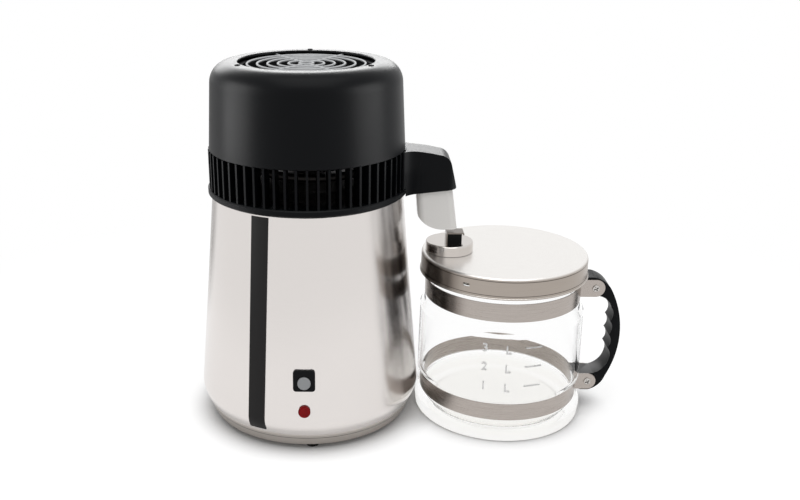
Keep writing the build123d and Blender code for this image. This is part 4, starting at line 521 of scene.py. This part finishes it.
# %% Pressed glass
FOOT_HAZE = (12 * MM, 21 * MM)   # heights between which the foot's haze goes over to clear glass
MOULD_WAVES = 22.0               # in a metre
glass, tree, shader = new_material(
    "pressed_borosilicate", Base_Color=linear("#fefefe"), IOR=1.1, Transmission_Weight=1.0
)
height = split(tree, object_place(tree))["Z"]
tree.links.new(mapped(tree, height, FOOT_HAZE, (0.4, 0.01)), shader.inputs["Roughness"])
tint = mixed(tree, mapped(tree, height, FOOT_HAZE), linear("#f8f7f4"), linear("#fefefe"))
tree.links.new(tint, shader.inputs["Base Color"])
wave = noise(tree, object_place(tree), MOULD_WAVES, 1.0)
tree.links.new(bumped(tree, wave, 0.3, 0.5 * MM), shader.inputs["Normal"])

# %% Frosted marks
FROST_GRAIN = 0.8 * MM           # drawn coarse, so that it shows
frosted, tree, shader = new_material("frosted_marks", Base_Color=linear("#ffffff"), IOR=1.47)
shader.inputs["Transmission Weight"].default_value = 0.55
sand = noise(tree, object_place(tree), 1 / FROST_GRAIN)
tree.links.new(mapped(tree, sand, target=(0.3, 0.5)), shader.inputs["Roughness"])

# %% [markdown]
# Every node of the engineering model gets its finish through its object's material slots, by
# the slot that the record names or, for a few nodes, by the node's own name.

# %% Finishes on the nodes
SLOT_FINISH = {
    "polished_steel": shell_steel,
    "brushed_band": band_steel,
    "black_moulding": satin_black,
    "black_gloss": gloss_black,
    "pan_enamel": base_steel,
    "rubber_black": rubber_black,
    "silicone": silicone,
    "zinc_fastener": bright_zinc,
    "aluminium_plate": bare_aluminium,
    "element_steel": hot_steel,
    "nozzle_grey": nozzle_grey,
    "button_grey": button_grey,
    "lamp_red": lens_red,
    "glass": glass,
    "bronze": oiled_bronze,
    "copper_winding": copper,
    "fan_plastic": fan_black,
}
NODE_FINISH = {
    "trim_strip": strip_black,
    "head_bolts": black_oxide,
    "lid_shell": lid_steel,
    "cap_disc": cap_steel,
    "condenser_coil": coil_steel_painted_shade,
    "vapour_hood": coil_steel_painted_shade,
    "knob_strap": strap_steel,
}
for part in frame["record"]["subparts"]:
    node = frame["nodes"][part["node"]]
    finish = NODE_FINISH.get(part["node"], SLOT_FINISH[part["material_slot"]])
    for holder in node.material_slots:
        holder.material = finish

# %% [markdown]
# New pieces follow. Each is made with Blender's own operators, starting from nothing
# selected, and then gets its name, its finish, the body it rides on, and the node it stands for.

# %% Helpers for new pieces
SMOOTH_ANGLE = math.radians(35)


def settle(piece, name, finish, body, slot, *stands_for):
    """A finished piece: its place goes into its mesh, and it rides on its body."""
    bpy.ops.object.select_all(action="DESELECT")
    bpy.context.view_layer.objects.active = piece
    piece.select_set(True)
    bpy.ops.object.transform_apply(location=True, rotation=True, scale=True)
    bpy.ops.object.shade_smooth_by_angle(angle=SMOOTH_ANGLE)
    piece.name = name
    piece.data.name = name
    piece.data.materials.clear()
    piece.data.materials.append(finish)
    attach(piece, body)
    if stands_for:
        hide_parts(*stands_for)
    print(name, len(piece.data.polygons), "faces")
    return piece


def joined(pieces):
    """Several objects made one."""
    bpy.ops.object.select_all(action="DESELECT")
    for piece in pieces:
        piece.select_set(True)
    bpy.context.view_layer.objects.active = pieces[0]
    bpy.ops.object.join()
    return pieces[0]


def cut_by(piece, cutter):
    """The piece with the cutter's shape taken out of it."""
    modifier = piece.modifiers.new("cut", "BOOLEAN")
    modifier.operation = "DIFFERENCE"
    modifier.object = cutter
    bpy.ops.object.select_all(action="DESELECT")
    bpy.context.view_layer.objects.active = piece
    piece.select_set(True)
    bpy.ops.object.modifier_apply(modifier="cut")
    bpy.data.objects.remove(cutter)
    return piece


# %% [markdown]
# The fan guard is bent from round wire: six rings on four spokes that run out under the
# cover. The engineering model draws the wire eight-sided, so it is made again here, round.

# %% The fan guard
GUARD_RINGS = (57.5, 47.6, 37.6, 27.5, 17.3, 6.7)
GUARD_SPOKES = (60, 120, 240, 300)
SPOKE_END = 69.5
SPOKE_LENGTH = SPOKE_END - GUARD_RINGS[-1]
low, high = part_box("fan_guard")
wire_r = (high.z - low.z) / 2
wire_z = (high.z + low.z) / 2
wires = []
for radius in GUARD_RINGS:
    bpy.ops.object.select_all(action="DESELECT")
    bpy.ops.mesh.primitive_torus_add(location=(boiler_x, 0, wire_z), major_radius=radius * MM,
                                     minor_radius=wire_r, major_segments=96, minor_segments=12)
    wires.append(bpy.context.object)
for azimuth in GUARD_SPOKES:
    turn = math.radians(azimuth)
    half_way = (GUARD_RINGS[-1] + SPOKE_END) / 2 * MM
    bpy.ops.mesh.primitive_cylinder_add(vertices=12, radius=wire_r, depth=SPOKE_LENGTH * MM,
                                        rotation=(0, math.pi / 2, turn),
                                        location=(boiler_x + half_way * math.cos(turn),
                                                  half_way * math.sin(turn), wire_z))
    wires.append(bpy.context.object)
settle(joined(wires), "guard_wires", wire_paint, "head", "black_gloss", "fan_guard")

# %% [markdown]
# Pan head screws with a cross recess hold the handle to its bands, and smaller ones hold the
# cover. One function makes a screw: a turned head whose rim is bevelled, a shank behind it,
# and a cross cut by two crossed blades.

# %% A pan head screw
HEAD_BEVEL = 0.55                # as a share of the head's height
CROSS_TURN = 0.5                 # radians that the cross is turned, as screws come to rest
CROSS_LENGTH = 1.3               # a blade's length and width, as shares of the head's radius
CROSS_WIDTH = 0.32
CROSS_DEPTH = 1.5                # a blade's height, half of it in the head, in head heights


def pan_screw(head, facing, head_r, head_h, shank_r, length):
    """A screw with its head's seat at a point, facing outwards along a direction."""
    bpy.ops.object.select_all(action="DESELECT")
    bpy.ops.mesh.primitive_cylinder_add(vertices=40, radius=head_r, depth=head_h,
                                        location=(0, 0, head_h / 2))
    screw = bpy.context.object
    bpy.ops.object.mode_set(mode="EDIT")
    mesh = bmesh.from_edit_mesh(screw.data)
    for face in mesh.faces:
        face.select_set(face.normal.z > 0.9)
    mesh.select_flush_mode()
    bmesh.update_edit_mesh(screw.data)
    bpy.ops.mesh.bevel(offset=HEAD_BEVEL * head_h, segments=4, affect="EDGES")
    bpy.ops.object.mode_set(mode="OBJECT")
    bpy.ops.object.select_all(action="DESELECT")
    bpy.ops.mesh.primitive_cylinder_add(vertices=24, radius=shank_r, depth=length,
                                        location=(0, 0, -length / 2))
    shank = bpy.context.object
    blades = []
    for turn in (0, math.pi / 2):
        bpy.ops.object.select_all(action="DESELECT")
        bpy.ops.mesh.primitive_cube_add(size=1, location=(0, 0, head_h),
                                        rotation=(0, 0, turn + CROSS_TURN))
        blade = bpy.context.object
        blade.scale = (CROSS_LENGTH * head_r, CROSS_WIDTH * head_r, CROSS_DEPTH * head_h)
        bpy.ops.object.transform_apply(location=False, rotation=True, scale=True)
        blades.append(blade)
    for blade in blades:
        cut_by(screw, blade)
    screw = joined([screw, shank])
    facing_turn = Vector(facing).to_track_quat("Z", "Y").to_matrix().to_4x4()
    screw.matrix_world = Matrix.Translation(head) @ facing_turn
    return screw


# %% The handle's screws
EAR_OUT = 95 * MM                # from the jug's axis to its ears' holes
SCREW_HEAD_R = 4 * MM
SCREW_HEAD_H = 2.2 * MM
SCREW_SHANK_R = 2 * MM
EAR_X = jug_x + EAR_OUT
low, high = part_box("handle_screws")
seat_y = low.y + SCREW_HEAD_H
ear_levels = (low.z + SCREW_HEAD_R, high.z - SCREW_HEAD_R)
screws = []
for level_z in ear_levels:
    screws.append(pan_screw((EAR_X, seat_y, level_z), (0, -1, 0), SCREW_HEAD_R, SCREW_HEAD_H,
                            SCREW_SHANK_R, high.y - seat_y))
settle(joined(screws), "handle_cross_screws", bright_zinc, "jug", "zinc_fastener", "handle_screws")

# %% The cover's screws
BOLT_CIRCLE = 72 * MM
BOLT_AZIMUTHS = (90, 210, 330)
BOLT_HEAD_R = 2.8 * MM
BOLT_HEAD_H = 1.4 * MM
BOLT_SHANK_R = 1.5 * MM
low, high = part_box("head_bolts")
seat_z = high.z - BOLT_HEAD_H
screws = []
for azimuth in BOLT_AZIMUTHS:
    turn = math.radians(azimuth)
    place = (boiler_x + BOLT_CIRCLE * math.cos(turn), BOLT_CIRCLE * math.sin(turn), seat_z)
    screws.append(pan_screw(place, (0, 0, 1), BOLT_HEAD_R, BOLT_HEAD_H, BOLT_SHANK_R, seat_z - low.z))
settle(joined(screws), "cover_cross_screws", black_oxide, "head", "zinc_fastener", "head_bolts")

# %% [markdown]
# The handle's rim is rounded where a hand goes. The engineering model leaves that rim
# sharp, so a copy of its mesh is merged, and only the long rim edges on its two flat sides are
# bevelled, well clear of the screw holes.

# %% A merged copy of a node
def merged_copy(node, flat_degrees=1.0):
    """A node's mesh as a new object, with its triangles joined into clean faces."""
    source = frame["nodes"][node]
    copy = bpy.data.objects.new(node + "_copy", source.data.copy())
    bpy.context.scene.collection.objects.link(copy)
    bpy.ops.object.select_all(action="DESELECT")
    bpy.context.view_layer.objects.active = copy
    copy.select_set(True)
    bpy.ops.object.mode_set(mode="EDIT")
    bpy.ops.mesh.select_all(action="SELECT")
    bpy.ops.mesh.remove_doubles(threshold=1e-6)
    bpy.ops.mesh.dissolve_limited(angle_limit=math.radians(flat_degrees))
    bpy.ops.object.mode_set(mode="OBJECT")
    return copy


def bevel_where(piece, wanted, width, segments=4):
    """Bevels the edges that a test picks from an edge's middle and the angle across it."""
    bpy.ops.object.select_all(action="DESELECT")
    bpy.context.view_layer.objects.active = piece
    piece.select_set(True)
    bpy.ops.object.mode_set(mode="EDIT")
    bpy.ops.mesh.select_mode(type="EDGE")
    bpy.ops.mesh.select_all(action="DESELECT")
    mesh = bmesh.from_edit_mesh(piece.data)
    count = 0
    for edge in mesh.edges:
        middle_point = (edge.verts[0].co + edge.verts[1].co) / 2
        if edge.is_manifold and wanted(middle_point, edge.calc_face_angle(0.0)):
            edge.select_set(True)
            count += 1
    bmesh.update_edit_mesh(piece.data)
    bpy.ops.mesh.bevel(offset=width, segments=segments, affect="EDGES", clamp_overlap=True)
    bpy.ops.object.mode_set(mode="OBJECT")
    print("bevelled", count, "edges of", piece.name)
    return piece


# %% The handle
HOLE_CLEAR = 4.5 * MM
GRIP_START = 97 * MM             # from the jug's axis, past the faces that lie on the glass
RIM_ANGLE = math.radians(60)
RIM_ROUND = 2.6 * MM
ON_SIDE = 0.05 * MM              # how near a side's plane counts as on it
low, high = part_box("jug_handle")


def handle_rim(point, angle):
    """True on the handle's long rims, away from the holes and the faces on the glass."""
    on_side = min(abs(point.y - low.y), abs(point.y - high.y)) < ON_SIDE
    holes = [math.hypot(point.x - EAR_X, point.z - level_z) for level_z in ear_levels]
    in_grip = min(holes) > HOLE_CLEAR and point.x > jug_x + GRIP_START
    return on_side and in_grip and angle > RIM_ANGLE


handle = bevel_where(merged_copy("jug_handle"), handle_rim, RIM_ROUND)
settle(handle, "grip_handle", satin_black, "jug", "black_moulding", "jug_handle")
black_pieces.objects.link(handle)

# %% [markdown]
# Raised marks on the front of the glass show the litres. Each mark is a number, the letter L
# and a line. The text is turned into a mesh, laid flat, and then wrapped round the wall. Their
# places and sizes are in millimetres, from the jug's middle and up from the table.

# %% The marks on the glass
MARK_LEVELS = {"3": 102.5, "2": 82.0, "1": 61.0}
MARK_DIGIT_X = -26.0
MARK_LETTER_X = -3.0
MARK_LETTER_DROP = 1.5
MARK_LINE = (14.0, 31.0)
MARK_LINE_LIFT = 1.0
MARK_LINE_WIDTH = 1.0
MARK_SIZE = 12.15                # the font's size, which makes a number about 9 mm high
MARK_RISE = 0.7
MARK_EDGE = 0.15
GLASS_WALL_R = 85.2


def flat_text(letters, x, z):
    """Letters as a flat mesh with a small rise, in millimetres on a drawing board."""
    bpy.ops.object.select_all(action="DESELECT")
    bpy.ops.object.text_add(location=(0, 0, 0))
    board = bpy.context.object
    board.data.body = letters
    board.data.align_x = "CENTER"
    board.data.align_y = "CENTER"
    board.data.size = MARK_SIZE
    board.data.extrude = MARK_RISE
    board.data.bevel_depth = MARK_EDGE
    board.data.resolution_u = 4
    bpy.ops.object.convert(target="MESH")
    board = bpy.context.object
    board.data.transform(Matrix.Translation((x, z, 0)))
    return board


def flat_line(x0, x1, z):
    """A thin raised line on the drawing board, cut into short lengths so that it can bend."""
    bpy.ops.object.select_all(action="DESELECT")
    bpy.ops.mesh.primitive_cube_add(size=1, location=((x0 + x1) / 2, z, 0))
    line = bpy.context.object
    line.scale = (x1 - x0, MARK_LINE_WIDTH, 2 * MARK_RISE)
    bpy.ops.object.transform_apply(location=True, rotation=True, scale=True)
    bpy.ops.object.mode_set(mode="EDIT")
    bpy.ops.mesh.select_all(action="SELECT")
    bpy.ops.mesh.subdivide(number_cuts=7)
    bpy.ops.object.mode_set(mode="OBJECT")
    return line


marks = []
for digit, level_z in MARK_LEVELS.items():
    marks.append(flat_text(digit, MARK_DIGIT_X, level_z))
    marks.append(flat_text("L", MARK_LETTER_X, level_z - MARK_LETTER_DROP))
    marks.append(flat_line(*MARK_LINE, level_z + MARK_LINE_LIFT))
marks = joined(marks)
for vertex in marks.data.vertices:
    along, up, rise = vertex.co
    turn = -math.pi / 2 + along / GLASS_WALL_R
    reach = GLASS_WALL_R + rise
    vertex.co = (jug_x + reach * MM * math.cos(turn), reach * MM * math.sin(turn), up * MM)
settle(marks, "litre_marks", frosted, "jug", "glass")

# %% [markdown]
# The lid's edge is rolled over into a bead, which stiffens it. It is a thin ring at the foot
# of the flared skirt.

# %% The bead of the lid
BEAD_R = 0.8 * MM
low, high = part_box("lid_shell")
hem_r = (high.y - low.y) / 2
bpy.ops.object.select_all(action="DESELECT")
bpy.ops.mesh.primitive_torus_add(location=(jug_x, 0, low.z + BEAD_R), major_radius=hem_r - BEAD_R,
                                 minor_radius=BEAD_R, major_segments=160, minor_segments=12)
settle(bpy.context.object, "lid_bead", lid_steel, "lid", "brushed_band")

# %% [markdown]
# A thin ring is moulded round the lamp's lens, and a smaller one inside it. They lean as the
# shell does there.

# %% The rings of the lamp
SHELL_NARROWING = 19.0           # millimetres of radius that the shell loses up its slope
SHELL_SLOPE_HEIGHT = 204.0
SHELL_LEAN = math.atan2(SHELL_NARROWING, SHELL_SLOPE_HEIGHT)
LENS_RINGS = ((5.6, 0.45), (3.6, 0.3))
RING_DEPTH = 0.9 * MM            # from the front of the lens to the rings
RING_LIFT = 0.6 * MM
lens_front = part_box("indicator_lamp")[0].y
lens_middle = middle("indicator_lamp")
lens_centre = Vector((lens_middle.x, lens_front + RING_DEPTH, lens_middle.z + RING_LIFT))
rings = []
for radius, thick in LENS_RINGS:
    bpy.ops.object.select_all(action="DESELECT")
    bpy.ops.mesh.primitive_torus_add(location=lens_centre, rotation=(math.pi / 2 - SHELL_LEAN, 0, 0),
                                     major_radius=radius * MM, minor_radius=thick * MM,
                                     major_segments=64, minor_segments=12)
    rings.append(bpy.context.object)
settle(joined(rings), "lamp_rings", lens_red, "boiler", "lamp_red")

# %% The view transform
bpy.context.scene.view_settings.view_transform = "Standard"
